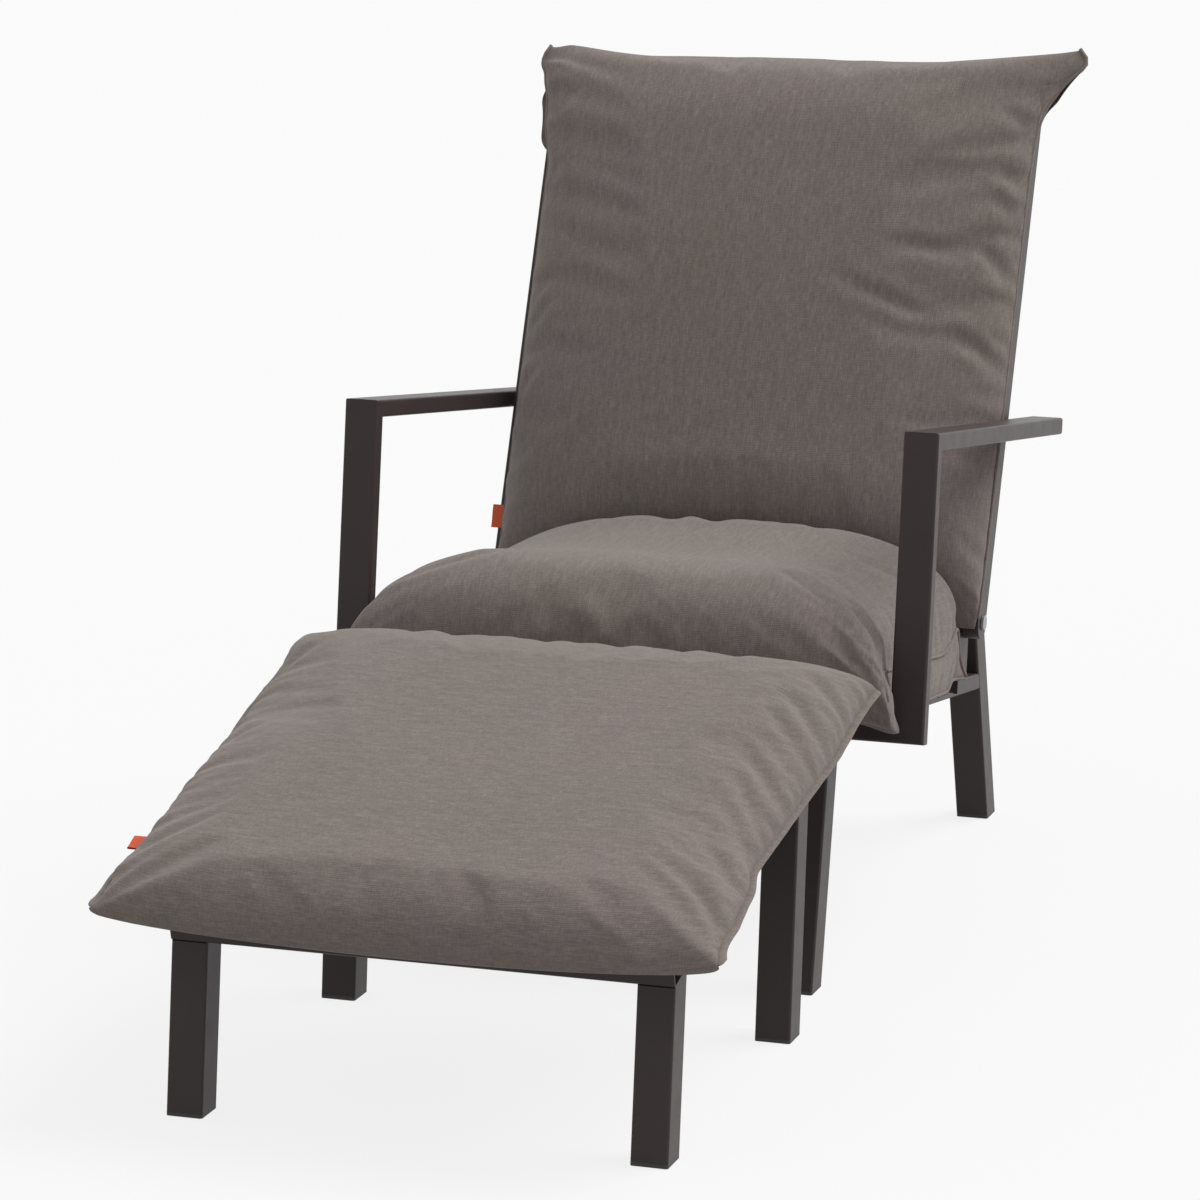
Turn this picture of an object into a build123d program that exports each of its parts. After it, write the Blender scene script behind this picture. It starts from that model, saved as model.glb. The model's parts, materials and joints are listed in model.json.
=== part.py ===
from build123d import *
import math
import os

# Reclining garden armchair with its matching footstool, in millimetres.
# X runs across the chair, the sitter faces -Y, +Z is up and the floor is at Z 0.
# While the pieces are made, Y 0 is the front top corner of the armrests. At the
# end everything moves along Y, so that the origin is the middle of the footprint.

# Aluminium profiles, powder coated
flat_width = 40.0
flat_depth = 20.0
leg_side = 40.0
profile_wall = 2.0
profile_corner = 3.0
inner_corner_share = 0.35
cut_overrun = 60.0

# Armchair frame
chair_width = 700.0
arm_height = 621.0
arm_length = 605.0
post_length = 346.0
frame_tilt = 8.2
rail_outer_width = 488.0
front_foot_reach = 118.0
front_leg_lean = 13.2
rear_foot_reach = 685.0
rear_leg_lean = 16.0
rear_leg_height = 268.0
rear_crossbar_height = 204.0
seat_slat_count = 5

# Plastic glides and plugs
glide_thickness = 4.0
plug_length = 18.0
plug_clearance = 0.25
cap_thickness = 3.0

# Recline hinge
hinge_reach = 424.7
hinge_rise = 65.4
bracket_thickness = 5.0
hinge_side_play = 1.0
hinge_bolt_radius = 5.0
hinge_bush_wall = 2.0
hinge_fit = 0.06
hinge_head_radius = 9.0
hinge_head_thickness = 3.0
hinge_nut_radius = 8.5
hinge_nut_thickness = 6.0
bush_flange_share = 0.6

# Back frame
arm_clearance = 3.0
back_lean = 22.8
back_length = 655.0
back_slat_count = 6
first_back_slat = 90.0
last_back_slat = 590.0
prop_bar_reach = 168.0

# Telescopic props that hold the back at its angle
prop_outer_radius = 11.0
prop_rod_radius = 8.0
prop_fit = 0.08
prop_side_gap = 2.0
prop_anchor_height = 243.0
prop_outer_length = 158.0
prop_rod_overlap = 45.0
prop_lug_width = 18.0
prop_eye_radius = 13.0
prop_pin_radius = 4.0
prop_pin_head = 3.0
prop_head_wall = 3.5
prop_slack = 3.6
fork_reach = 38.0
fork_plate = 4.0
fork_play = 0.8
fork_width = 26.0

# Soft pieces lie this far from the frame and from each other
soft_gap = 0.3

# Seat cushion, in the frame's tilted plane
seat_side_gap = 12.0
seat_border_height = 36.0
seat_crown_power = 3.4
seat_crown_front = 130.0
seat_crown_middle = 151.0
seat_crown_rear = 208.0
seat_front_reach = 72.0
seat_front_shoulder = 22.0
seat_skirt_drop = 18.0
edge_crown = 4.0
seat_ear_reach = 12.0
seat_ear_height = 74.0
seat_ear_depth = 14.0
crease_reach = 322.0
crease_height = 172.0
crease_fall = 56.0
hinge_relief = 2.0

# Back cushion, in the back frame's plane
back_cushion_side_gap = 8.0
back_crown_power = 2.1
back_border_depth = 6.0
back_crown_lower = 118.0
back_crown_middle = 104.0
back_crown_upper = 53.0
back_shoulder = 76.0
back_bend_shares = (0.3, 0.33)
back_cushion_rise = 32.0
ear_reach = 48.0
ear_height = 62.0
ear_rise = 8.0
ear_depth = 12.0
ear_point_shares = (0.3, 0.5, 0.12)
hood_thickness = 7.0
hood_drop = 150.0

# Footstool frame
stool_width = 542.0
stool_front_height = 181.0
stool_front_reach = 708.0
stool_length = 495.0
stool_slope = 14.0
stool_front_foot_reach = 731.0
stool_rear_foot_reach = 297.0
stool_slat_count = 4

# Footstool cushion, in the footstool frame's plane
stool_cushion_half_width = 331.0
stool_side_draw = 16.0
stool_crown_power = 3.4
stool_cushion_front = 64.0
stool_front_draw = 4.0
stool_cushion_rear = 54.0
stool_seam_height = 42.0
stool_seam_thickness = 12.0
stool_crown_front = 98.0
stool_crown_rear = 114.0
stool_edge_round = 90.0
stool_under_bulge = 8.0
stool_bend_shares = (0.3, 0.72)

# Where the lofted cushions have their sections, as shares of their half width
section_shares = (-1.0, -0.97, -0.88, -0.65, 0.0, 0.65, 0.88, 0.97, 1.0)

# Planes and places that follow from the sizes
arm_x = (chair_width - flat_width) / 2
rail_x = (rail_outer_width - leg_side) / 2
leg_inner_x = rail_x - leg_side / 2
deck_level = flat_width - post_length
under_level = -post_length
deck = Plane(
    origin=(0, 0, arm_height),
    x_dir=(1, 0, 0),
    z_dir=(0, math.sin(math.radians(frame_tilt)), math.cos(math.radians(frame_tilt))),
)
hinge_level = deck_level + hinge_rise
pivot = deck.from_local_coords(Vector(0, hinge_reach, hinge_level))
back_outer_x = chair_width / 2 - flat_width - arm_clearance
back_inner_x = back_outer_x - flat_depth
seat_half_width = chair_width / 2 - flat_width - seat_side_gap
back_cushion_half_width = chair_width / 2 - flat_width - back_cushion_side_gap
back_plane = Plane(
    origin=pivot,
    x_dir=(1, 0, 0),
    z_dir=(0, -math.cos(math.radians(back_lean)), math.sin(math.radians(back_lean))),
)
bracket_outer_x = back_inner_x - hinge_side_play
bracket_inner_x = bracket_outer_x - bracket_thickness
stool = Plane(
    origin=(0, -stool_front_reach, stool_front_height),
    x_dir=(1, 0, 0),
    z_dir=(0, -math.sin(math.radians(stool_slope)), math.cos(math.radians(stool_slope))),
)


def hollow_profile(width, depth, length):
    """A rectangular tube with rounded corners, standing on the XY plane."""
    outer = RectangleRounded(width, depth, profile_corner)
    inner = RectangleRounded(
        width - 2 * profile_wall, depth - 2 * profile_wall, profile_corner * inner_corner_share
    )
    return extrude(outer - inner, amount=length)


def solid_profile(width, depth, length):
    """A solid bar with the same corners as the tubes."""
    return extrude(RectangleRounded(width, depth, profile_corner * inner_corner_share), amount=length)


def placed(shape, start, direction, across):
    """Carry a shape made along +Z to a start point, direction and across axis."""
    return Plane(origin=start, x_dir=across, z_dir=direction) * shape


def tube(start, end, across, width, depth):
    """A rectangular tube from start to end, its width along the across axis."""
    span = Vector(*end) - Vector(*start)
    return placed(hollow_profile(width, depth, span.length), start, span, across)


def cut_beyond(shape, point, normal):
    """Keep what lies behind the plane, on the side that its normal leaves."""
    return split(shape, bisect_by=Plane(origin=point, z_dir=normal), keep=Keep.BOTTOM)


def disc(radius, length, x, y, z):
    """A cylinder along X from x to x + length, its axis at y, z."""
    return placed(Cylinder(radius, length, align=(Align.CENTER, Align.CENTER, Align.MIN)),
                  (x, y, z), (1, 0, 0), (0, 1, 0))


def both_sides(piece):
    """The right-hand piece and its mirror image."""
    return piece, mirror(piece, about=Plane.YZ)


def spread(count, first, last):
    """Evenly spaced places from first to last."""
    step = (last - first) / max(count - 1, 1)
    return [first + index * step for index in range(count)]


# Armrests, posts and front rail: one bent path of flat profile, mitred at its corners
def make_arm():
    """Right armrest, open at its rear end."""
    level = -flat_depth / 2
    arm = tube((arm_x, 0, level), (arm_x, arm_length, level), (1, 0, 0), flat_width, flat_depth)
    return deck * cut_beyond(arm, (0, 0, 0), (0, -1, -1))


def make_post():
    """Right post, square to the armrest, mitred into it and into the front rail."""
    middle = flat_depth / 2
    post = tube((arm_x, middle, 0), (arm_x, middle, under_level), (1, 0, 0), flat_width, flat_depth)
    post = cut_beyond(post, (0, 0, 0), (0, 1, 1))
    return deck * cut_beyond(post, (chair_width / 2, 0, under_level), (-1, 0, -1))


def make_front_rail():
    """Rail across the front, standing on its narrow side."""
    middle = flat_depth / 2
    level = under_level + flat_width / 2
    rail = tube((-chair_width / 2, middle, level), (chair_width / 2, middle, level),
                (0, 0, 1), flat_width, flat_depth)
    for side in (-1, 1):
        rail = cut_beyond(rail, (side * chair_width / 2, 0, under_level), (side, 0, 1))
    return deck * rail


def make_arm_caps():
    """Plugs in the rear ends of the two armrests."""
    level = -flat_depth / 2
    face = placed(extrude(RectangleRounded(flat_width, flat_depth, profile_corner), amount=cap_thickness),
                  (arm_x, arm_length, level), (0, 1, 0), (1, 0, 0))
    inset = 2 * (profile_wall + plug_clearance)
    plug = placed(solid_profile(flat_width - inset, flat_depth - inset, plug_length),
                  (arm_x, arm_length, level), (0, -1, 0), (1, 0, 0))
    return Compound(both_sides(deck * (face + plug)))


# Legs
def leg_plane(foot_y, lean):
    """Plane at the floor on a leg's axis, its normal up the leg. foot_y is the foot's front."""
    up = Vector(0, math.sin(math.radians(lean)), math.cos(math.radians(lean)))
    middle = foot_y + leg_side / 2 / math.cos(math.radians(lean))
    return Plane(origin=(0, middle, 0), x_dir=(1, 0, 0), z_dir=up)


def make_leg(foot_y, lean, x, length):
    """Leg with its foot cut level, above the glide."""
    axis = leg_plane(foot_y, lean)
    leg = axis * Pos(x, 0, -cut_overrun) * hollow_profile(leg_side, leg_side, length + cut_overrun)
    return cut_beyond(leg, (0, 0, glide_thickness), (0, 0, -1))


def make_glide(foot_y, lean, x):
    """Plastic glide: a pad under the foot and a plug up the leg."""
    axis = leg_plane(foot_y, lean)
    foot_depth = leg_side / math.cos(math.radians(lean))
    shift = glide_thickness * math.tan(math.radians(lean))
    pad = Pos(x, axis.origin.Y + shift / 2, 0) * extrude(
        RectangleRounded(leg_side, foot_depth, profile_corner), amount=glide_thickness)
    inner = leg_side - 2 * (profile_wall + plug_clearance)
    plug = axis * Pos(x, 0, -plug_length) * solid_profile(inner, inner, 2 * plug_length)
    plug = cut_beyond(plug, (0, 0, glide_thickness), (0, 0, -1))
    return pad + plug


def make_front_leg():
    """Right front leg, cut along the underside of the rails."""
    leg = make_leg(-front_foot_reach, front_leg_lean, rail_x, arm_height)
    return cut_beyond(leg, deck.from_local_coords(Vector(0, 0, under_level)), deck.z_dir)


def rear_leg_length():
    """Length along the rear leg's axis from the floor to its top."""
    return rear_leg_height / math.cos(math.radians(rear_leg_lean))


def make_rear_leg():
    """Right rear leg, which runs on above the side rail to carry the prop."""
    return make_leg(rear_foot_reach, -rear_leg_lean, rail_x, rear_leg_length())


def make_rear_leg_caps():
    """Plugs in the tops of the two rear legs."""
    axis = leg_plane(rear_foot_reach, -rear_leg_lean)
    face = extrude(RectangleRounded(leg_side, leg_side, profile_corner), amount=cap_thickness)
    inner = leg_side - 2 * (profile_wall + plug_clearance)
    plug = Pos(0, 0, -plug_length) * solid_profile(inner, inner, plug_length)
    return Compound(both_sides(axis * Pos(rail_x, 0, rear_leg_length()) * (face + plug)))


def make_chair_glides():
    """The four glides of the armchair."""
    pads = []
    for foot_y, lean in ((-front_foot_reach, front_leg_lean), (rear_foot_reach, -rear_leg_lean)):
        pads.extend(both_sides(make_glide(foot_y, lean, rail_x)))
    return Compound(pads)


# Rails, crossbars and slats under the seat
def make_side_rail():
    """Right side rail, from the front rail to the front face of the rear leg."""
    level = under_level + flat_depth / 2
    rail = deck * tube((rail_x, flat_depth, level), (rail_x, rear_foot_reach + leg_side, level),
                       (1, 0, 0), flat_width, flat_depth)
    axis = leg_plane(rear_foot_reach, -rear_leg_lean)
    return cut_beyond(rail, axis.from_local_coords(Vector(0, -leg_side / 2, 0)), axis.y_dir)


def make_rear_crossbar():
    """Bar between the rear legs."""
    axis = leg_plane(rear_foot_reach, -rear_leg_lean)
    height = rear_crossbar_height / math.cos(math.radians(rear_leg_lean))
    return axis * tube((-leg_inner_x, 0, height), (leg_inner_x, 0, height),
                       (0, 0, 1), flat_width, flat_depth)


def cross_slat(reach):
    """Flat tube across both side rails, its middle at the reach."""
    level = deck_level - flat_depth / 2
    return deck * tube((-bracket_inner_x, reach, level), (bracket_inner_x, reach, level),
                       (0, 1, 0), flat_width, flat_depth)


def make_seat_slats():
    """Slats between the front rail and the hinge crossbar."""
    pitch = (hinge_reach - flat_depth) / (seat_slat_count + 1)
    places = [flat_depth + pitch * (index + 1) for index in range(seat_slat_count)]
    return Compound([cross_slat(place) for place in places])


def make_hinge_bracket():
    """Right hinge plate, on the end of the hinge crossbar."""
    height = hinge_level - (deck_level - flat_depth)
    outline = Rectangle(flat_width, height, align=(Align.CENTER, Align.MIN))
    outline += Pos(0, height) * Circle(flat_width / 2)
    outline -= Pos(0, height) * Circle(hinge_bolt_radius + hinge_fit)
    plate = placed(extrude(outline, amount=bracket_thickness),
                   (bracket_inner_x, hinge_reach, deck_level - flat_depth), (1, 0, 0), (0, 1, 0))
    return deck * plate


def make_hinge_bolts():
    """Hinge bolts and their nuts, two of each."""
    y, z = pivot.Y, pivot.Z
    head_x = back_outer_x + hinge_side_play / 2
    start_x = bracket_inner_x - hinge_nut_thickness
    bolt = disc(hinge_bolt_radius, head_x - start_x, start_x, y, z)
    bolt += disc(hinge_head_radius, hinge_head_thickness, head_x, y, z)
    nut = extrude(RegularPolygon(hinge_nut_radius, 6), amount=hinge_nut_thickness)
    nut = placed(nut, (start_x, y, z), (1, 0, 0), (0, 1, 0))
    nut -= disc(hinge_bolt_radius + hinge_fit, hinge_nut_thickness, start_x, y, z)
    return Compound(both_sides(bolt) + both_sides(nut))


# Back frame, in its own plane: x across, y up the back, z to the front
def make_back_tube():
    """Right back tube, round at the hinge and mitred at the top."""
    x = back_outer_x - flat_depth / 2
    outer = tube((x, 0, 0), (x, back_length, 0), (1, 0, 0), flat_depth, flat_width)
    outer = cut_beyond(outer, (back_outer_x, back_length, 0), (-1, 1, 0))
    end = disc(flat_width / 2, flat_depth, back_inner_x, 0, 0)
    end = cut_beyond(end, (0, 0, 0), (0, 1, 0))
    hollow = disc(flat_width / 2 - profile_wall, flat_depth - 2 * profile_wall,
                  back_inner_x + profile_wall, 0, 0)
    body = outer + (end - hollow)
    bush_radius = hinge_bolt_radius + hinge_fit + hinge_bush_wall
    body -= disc(bush_radius + hinge_fit, flat_depth, back_inner_x, 0, 0)
    return back_plane * body


def make_hinge_bushes():
    """Plastic bushes between the back tubes and the hinge bolts."""
    bore = hinge_bolt_radius + hinge_fit
    flange = hinge_side_play * bush_flange_share
    bush = disc(bore + hinge_bush_wall, flat_depth + flange, back_inner_x - flange, 0, 0)
    bush += disc(hinge_head_radius, flange, back_inner_x - flange, 0, 0)
    bush -= disc(bore, flat_depth + 2 * cut_overrun, back_inner_x - cut_overrun, 0, 0)
    return Compound(both_sides(back_plane * bush))


def make_back_top_tube():
    """Tube across the top of the back, mitred at both ends."""
    level = back_length - flat_depth / 2
    bar = tube((-back_outer_x, level, 0), (back_outer_x, level, 0), (0, 1, 0), flat_depth, flat_width)
    for side in (-1, 1):
        bar = cut_beyond(bar, (side * back_outer_x, back_length, 0), (side, -1, 0))
    return back_plane * bar


def back_bar(reach, level):
    """Flat tube between the back tubes."""
    return back_plane * tube((-back_inner_x, reach, level), (back_inner_x, reach, level),
                             (0, 1, 0), flat_width, flat_depth)


def make_back_slats():
    """Slats that carry the back cushion, flush with the front of the back tubes."""
    places = spread(back_slat_count, first_back_slat, last_back_slat)
    return Compound([back_bar(place, flat_depth / 2) for place in places])


def make_prop_bar():
    """Bar behind the slats that the two props push on."""
    return back_bar(prop_bar_reach, -flat_depth / 2)


# Props: an outer tube on a stud of each rear leg, and a rod to a fork on the back
prop_x = leg_inner_x - prop_side_gap - prop_outer_radius
rear_axis = leg_plane(rear_foot_reach, -rear_leg_lean)
anchor = rear_axis.from_local_coords(
    Vector(0, 0, prop_anchor_height / math.cos(math.radians(rear_leg_lean))))
fork_level = -flat_depth - fork_reach / 2
fork_pin = back_plane.from_local_coords(Vector(0, prop_bar_reach, fork_level))
prop_span = fork_pin - anchor
prop_plane = Plane(origin=(prop_x, anchor.Y, anchor.Z), x_dir=(1, 0, 0), z_dir=prop_span)


def prop_lug(hole_radius, eye_radius, neck):
    """Flat eye about the local origin, with a neck up the prop's axis."""
    lug = disc(eye_radius, prop_lug_width, -prop_lug_width / 2, 0, 0)
    lug += Box(prop_lug_width, 2 * prop_rod_radius, neck, align=(Align.CENTER, Align.CENTER, Align.MIN))
    return lug - disc(hole_radius, 2 * prop_lug_width, -prop_lug_width, 0, 0)


def make_prop_outer():
    """Right outer tube with its lower eye."""
    neck = prop_eye_radius + prop_head_wall
    sleeve = Pos(0, 0, neck) * extrude(
        Circle(prop_outer_radius) - Circle(prop_rod_radius + prop_fit), amount=prop_outer_length - neck)
    floor = Pos(0, 0, prop_eye_radius) * Cylinder(
        prop_outer_radius, prop_head_wall, align=(Align.CENTER, Align.CENTER, Align.MIN))
    lug = prop_lug(prop_pin_radius + prop_fit, prop_eye_radius, prop_eye_radius)
    return prop_plane * (sleeve + floor + lug)


def make_prop_rod():
    """Right rod with its upper eye, which has slack round the fork's pin."""
    length = prop_span.length
    start = prop_outer_length - prop_rod_overlap
    rod = Pos(0, 0, start) * Cylinder(
        prop_rod_radius, length - prop_eye_radius - start, align=(Align.CENTER, Align.CENTER, Align.MIN))
    eye = prop_lug(prop_pin_radius + prop_slack, prop_eye_radius, prop_eye_radius + prop_head_wall)
    eye = Pos(0, 0, length) * Rot(180, 0, 0) * eye
    return prop_plane * (rod + eye)


def make_prop_studs():
    """Studs on the inner faces of the rear legs that the props turn on."""
    inner = prop_x - prop_lug_width / 2 - fork_play
    stud = disc(prop_pin_radius, leg_inner_x - inner, inner, anchor.Y, anchor.Z)
    stud += disc(prop_pin_radius + prop_head_wall, prop_pin_head, inner - prop_pin_head,
                 anchor.Y, anchor.Z)
    return Compound(both_sides(stud))


def make_fork():
    """Right fork: two plates behind the prop bar."""
    inside = prop_lug_width / 2 + fork_play
    outline = Pos(-fork_reach / 4, 0) * Rectangle(fork_reach / 2, fork_width)
    outline += Pos(-fork_reach / 2, 0) * Circle(fork_width / 2)
    outline -= Pos(-fork_reach / 2, 0) * Circle(prop_pin_radius + prop_fit)
    plates = []
    for x in (prop_x - inside - fork_plate, prop_x + inside):
        plate = placed(extrude(outline, amount=fork_plate),
                       (x, prop_bar_reach, -flat_depth), (1, 0, 0), (0, 0, 1))
        plates.append(back_plane * plate)
    return Compound(plates)


def make_fork_pins():
    """Pins through the two forks."""
    inside = prop_lug_width / 2 + fork_play
    start = prop_x - inside - fork_plate
    length = 2 * (inside + fork_plate)
    pin = disc(prop_pin_radius, length, start, prop_bar_reach, fork_level)
    pin += disc(prop_pin_radius + prop_head_wall, prop_pin_head, start - prop_pin_head,
                prop_bar_reach, fork_level)
    pin += disc(prop_pin_radius + prop_head_wall, prop_pin_head, start + length,
                prop_bar_reach, fork_level)
    return Compound(both_sides(back_plane * pin))


# Footstool frame, in its own plane: x across, y up the slope to the rear, z square to it
def stool_tube_across(reach, half_width):
    """Flat tube across the footstool, its middle at the reach."""
    level = flat_depth / 2
    return stool * tube((-half_width, reach, level), (half_width, reach, level),
                        (0, 1, 0), flat_width, flat_depth)


def make_stool_side_rail():
    """Right side rail between the front and rear rails."""
    x = (stool_width - flat_width) / 2
    level = flat_depth / 2
    return stool * tube((x, flat_width, level), (x, stool_length - flat_width, level),
                        (1, 0, 0), flat_width, flat_depth)


def make_stool_slats():
    """Slats between the footstool's side rails."""
    inner = stool_width / 2 - flat_width
    pitch = (stool_length - flat_width) / (stool_slat_count + 1)
    places = [flat_width / 2 + pitch * (index + 1) for index in range(stool_slat_count)]
    return Compound([stool_tube_across(place, inner) for place in places])


def stool_leg_lean(foot_reach, rail_edge):
    """Lean that puts the front of a leg under the front edge of its rail."""
    edge = stool.from_local_coords(Vector(0, rail_edge, 0))
    return math.degrees(math.atan2(edge.Y + foot_reach, edge.Z))


def make_stool_leg(foot_reach, rail_edge):
    """Right leg under a rail, cut along the underside of the frame."""
    x = (stool_width - leg_side) / 2
    lean = stool_leg_lean(foot_reach, rail_edge)
    leg = make_leg(-foot_reach, lean, x, stool_length)
    return cut_beyond(leg, stool.origin, stool.z_dir)


def make_stool_glides():
    """The four glides of the footstool."""
    x = (stool_width - leg_side) / 2
    pads = []
    for foot_reach, edge in stool_feet:
        pads.extend(both_sides(make_glide(-foot_reach, stool_leg_lean(foot_reach, edge), x)))
    return Compound(pads)


stool_feet = ((stool_front_foot_reach, 0.0), (stool_rear_foot_reach, stool_length - flat_width))


# Cushions: closed bodies lofted through sections that stand across their width
def crown(share, power):
    """How full a cushion is at a share of its half width, 1 in the middle and 0 at its edge."""
    return (1 - min(abs(share), 1.0) ** power) ** (1 / power)


def across_width(half_width, outline):
    """Loft the outlines that the function gives for each share of the half width."""
    sections = []
    for share in section_shares:
        plane = Plane(origin=(share * half_width, 0, 0), x_dir=(0, 1, 0), z_dir=(1, 0, 0))
        sections.append(plane * make_face(outline(share)))
    return loft(sections)


def seat_outline(share):
    """Section of the seat cushion: x to the rear, y up, about the deck's top face."""
    full = crown(share, seat_crown_power)
    front = seat_border_height + (seat_crown_front - seat_border_height) * full
    middle = seat_border_height + (seat_crown_middle - seat_border_height) * full + edge_crown
    rear = seat_border_height + (seat_crown_rear - seat_border_height) * full
    bottom = -seat_skirt_drop
    end = hinge_reach + flat_width
    bulge = seat_front_shoulder + (seat_front_reach - seat_front_shoulder) * (1 + full) / 2
    return [
        Line((end, bottom), (-seat_front_shoulder, bottom)),
        ThreePointArc((-seat_front_shoulder, bottom), (-bulge, (bottom + front) / 2),
                      (-seat_front_shoulder, front)),
        ThreePointArc((-seat_front_shoulder, front), (crease_reach / 2, middle), (end, rear)),
        Line((end, rear), (end, bottom)),
    ]


def crease_plane():
    """Plane between the seat and back cushions, its normal to the rear and up."""
    point = deck.from_local_coords(Vector(0, crease_reach, deck_level + crease_height))
    down = Vector(0, math.cos(math.radians(crease_fall)), -math.sin(math.radians(crease_fall)))
    along = deck.from_local_coords(down) - deck.origin
    normal = Vector(1, 0, 0).cross(along)
    return point, normal


def make_seat_ear():
    """Right front corner of the seat cushion, pinched flat before the arm post."""
    inner = seat_half_width + soft_gap
    tip = chair_width / 2 - flat_width + seat_ear_reach
    low = -seat_skirt_drop
    flap = make_face(Polyline(
        (inner, low), (tip, low), (tip, low + seat_ear_height / 2), (inner, low + seat_ear_height),
        close=True))
    start = (0, -seat_front_shoulder, deck_level)
    return deck * placed(extrude(flap, amount=seat_ear_depth), start, (0, -1, 0), (1, 0, 0))


def make_seat_cushion():
    """Seat cushion: crowned, flat on the slats, its front roll hanging before the rail."""
    pad = Pos(0, 0, deck_level) * across_width(seat_half_width, seat_outline)
    frame_space = Pos(0, -soft_gap, deck_level + soft_gap) * Box(
        chair_width, arm_length, flat_width, align=(Align.CENTER, Align.MIN, Align.MAX))
    pad = deck * (pad - frame_space)
    point, normal = crease_plane()
    pad = cut_beyond(pad, point - normal.normalized() * soft_gap, normal)
    relief = Pos(bracket_inner_x - hinge_relief, hinge_reach - flat_width / 2 - hinge_relief,
                 deck_level - flat_depth) * Box(
        flat_width, 2 * flat_width, 2 * hinge_rise, align=(Align.MIN, Align.MIN, Align.MIN))
    for cut in both_sides(deck * relief):
        pad -= cut
    return Compound([*pad.solids(), *both_sides(make_seat_ear())])


def back_outline(share):
    """Section of the back cushion: x up the back, y to the front, about the tubes' front face."""
    full = crown(share, back_crown_power)
    lower = back_border_depth + (back_crown_lower - back_border_depth) * full
    middle = back_border_depth + (back_crown_middle - back_border_depth) * full + edge_crown
    upper = back_border_depth + (back_crown_upper - back_border_depth) * full
    top = back_length + back_cushion_rise
    knee = top - back_shoulder
    under = -flat_width / 2
    bend_share, rise_share = back_bend_shares
    return [
        Line((0, under), (0, lower)),
        ThreePointArc((0, lower), (knee / 2, middle), (knee, upper)),
        ThreePointArc((knee, upper), (top - back_shoulder * bend_share, upper * rise_share), (top, under)),
        Line((top, under), (0, under)),
    ]


def make_ear():
    """Pinched right corner of the back cushion, beside its top edge and outside the back tube."""
    edge = back_cushion_half_width + soft_gap
    outside = back_outer_x + soft_gap
    tip = back_cushion_half_width + ear_reach
    top = back_length + back_cushion_rise
    level = back_length + soft_gap
    inset_share, waist_share, notch_share = ear_point_shares
    flap = make_face(Polyline(
        (edge, level),
        (outside, level),
        (outside, top - ear_height),
        (tip - ear_reach * inset_share, top - ear_height * waist_share),
        (tip, top + ear_rise),
        (edge, top - ear_height * notch_share),
        close=True))
    return back_plane * Pos(0, 0, -ear_depth / 2) * extrude(flap, amount=ear_depth)


def back_pad():
    """The back cushion's body in the back's plane: flat on the slats, hooked over the top tube."""
    pad = Pos(0, 0, flat_width / 2) * across_width(back_cushion_half_width, back_outline)
    frame_space = Pos(0, back_length + soft_gap, flat_width / 2 + soft_gap) * Box(
        chair_width, 2 * back_length, 2 * flat_width, align=(Align.CENTER, Align.MAX, Align.MAX))
    return pad - frame_space


def make_back_cushion():
    """Back cushion, cut along the crease in front of the seat cushion."""
    point, normal = crease_plane()
    return cut_beyond(back_plane * back_pad(), point + normal.normalized() * soft_gap, normal * -1)


def make_back_hood():
    """Pocket of the cushion's cover that hangs behind the top of the back."""
    top = back_length + back_cushion_rise
    inner = back_length + soft_gap
    inside = -flat_width / 2 - soft_gap
    outside = inside - hood_thickness
    bend = hood_thickness + flat_width / 2
    turn = bend * math.sqrt(1 / 2)
    outline = make_face([
        Line((inner, -soft_gap), (top, -soft_gap)),
        ThreePointArc((top, -soft_gap), (top - bend + turn, -soft_gap - turn), (top - bend, outside)),
        Line((top - bend, outside), (top - hood_drop, outside)),
        Line((top - hood_drop, outside), (top - hood_drop, inside)),
        Line((top - hood_drop, inside), (inner, inside)),
        Line((inner, inside), (inner, -soft_gap)),
    ])
    start = Plane(origin=(-back_cushion_half_width, 0, 0), x_dir=(0, 1, 0), z_dir=(1, 0, 0))
    return back_plane * start * extrude(outline, amount=2 * back_cushion_half_width)


def stool_outline(share):
    """Section of the footstool cushion: x up the slope, y square to it, about the top face."""
    full = crown(share, stool_crown_power)
    seam = stool_seam_height
    half_seam = stool_seam_thickness / 2
    top_front = seam + half_seam + (stool_crown_front - seam - half_seam) * full
    top_rear = seam + half_seam + (stool_crown_rear - seam - half_seam) * full
    bottom = seam - half_seam - (seam - half_seam + stool_under_bulge) * full
    draw = stool_front_draw * (1 - abs(share) ** 2)
    front = -stool_cushion_front + draw
    rear = stool_length + stool_cushion_rear - draw
    inset = stool_edge_round
    bend_share, rise_share = stool_bend_shares
    bend = inset * bend_share
    upper_front = seam + (top_front - seam) * rise_share
    upper_rear = seam + (top_rear - seam) * rise_share
    lower = seam + (bottom - seam) * rise_share
    return [
        ThreePointArc((front, seam), (front + bend, upper_front), (front + inset, top_front)),
        ThreePointArc((front + inset, top_front),
                      ((front + rear) / 2, (top_front + top_rear) / 2 + half_seam),
                      (rear - inset, top_rear)),
        ThreePointArc((rear - inset, top_rear), (rear - bend, upper_rear), (rear, seam)),
        ThreePointArc((rear, seam), (rear - bend, lower), (rear - inset, bottom)),
        Line((rear - inset, bottom), (front + inset, bottom)),
        ThreePointArc((front + inset, bottom), (front + bend, lower), (front, seam)),
    ]


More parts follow.
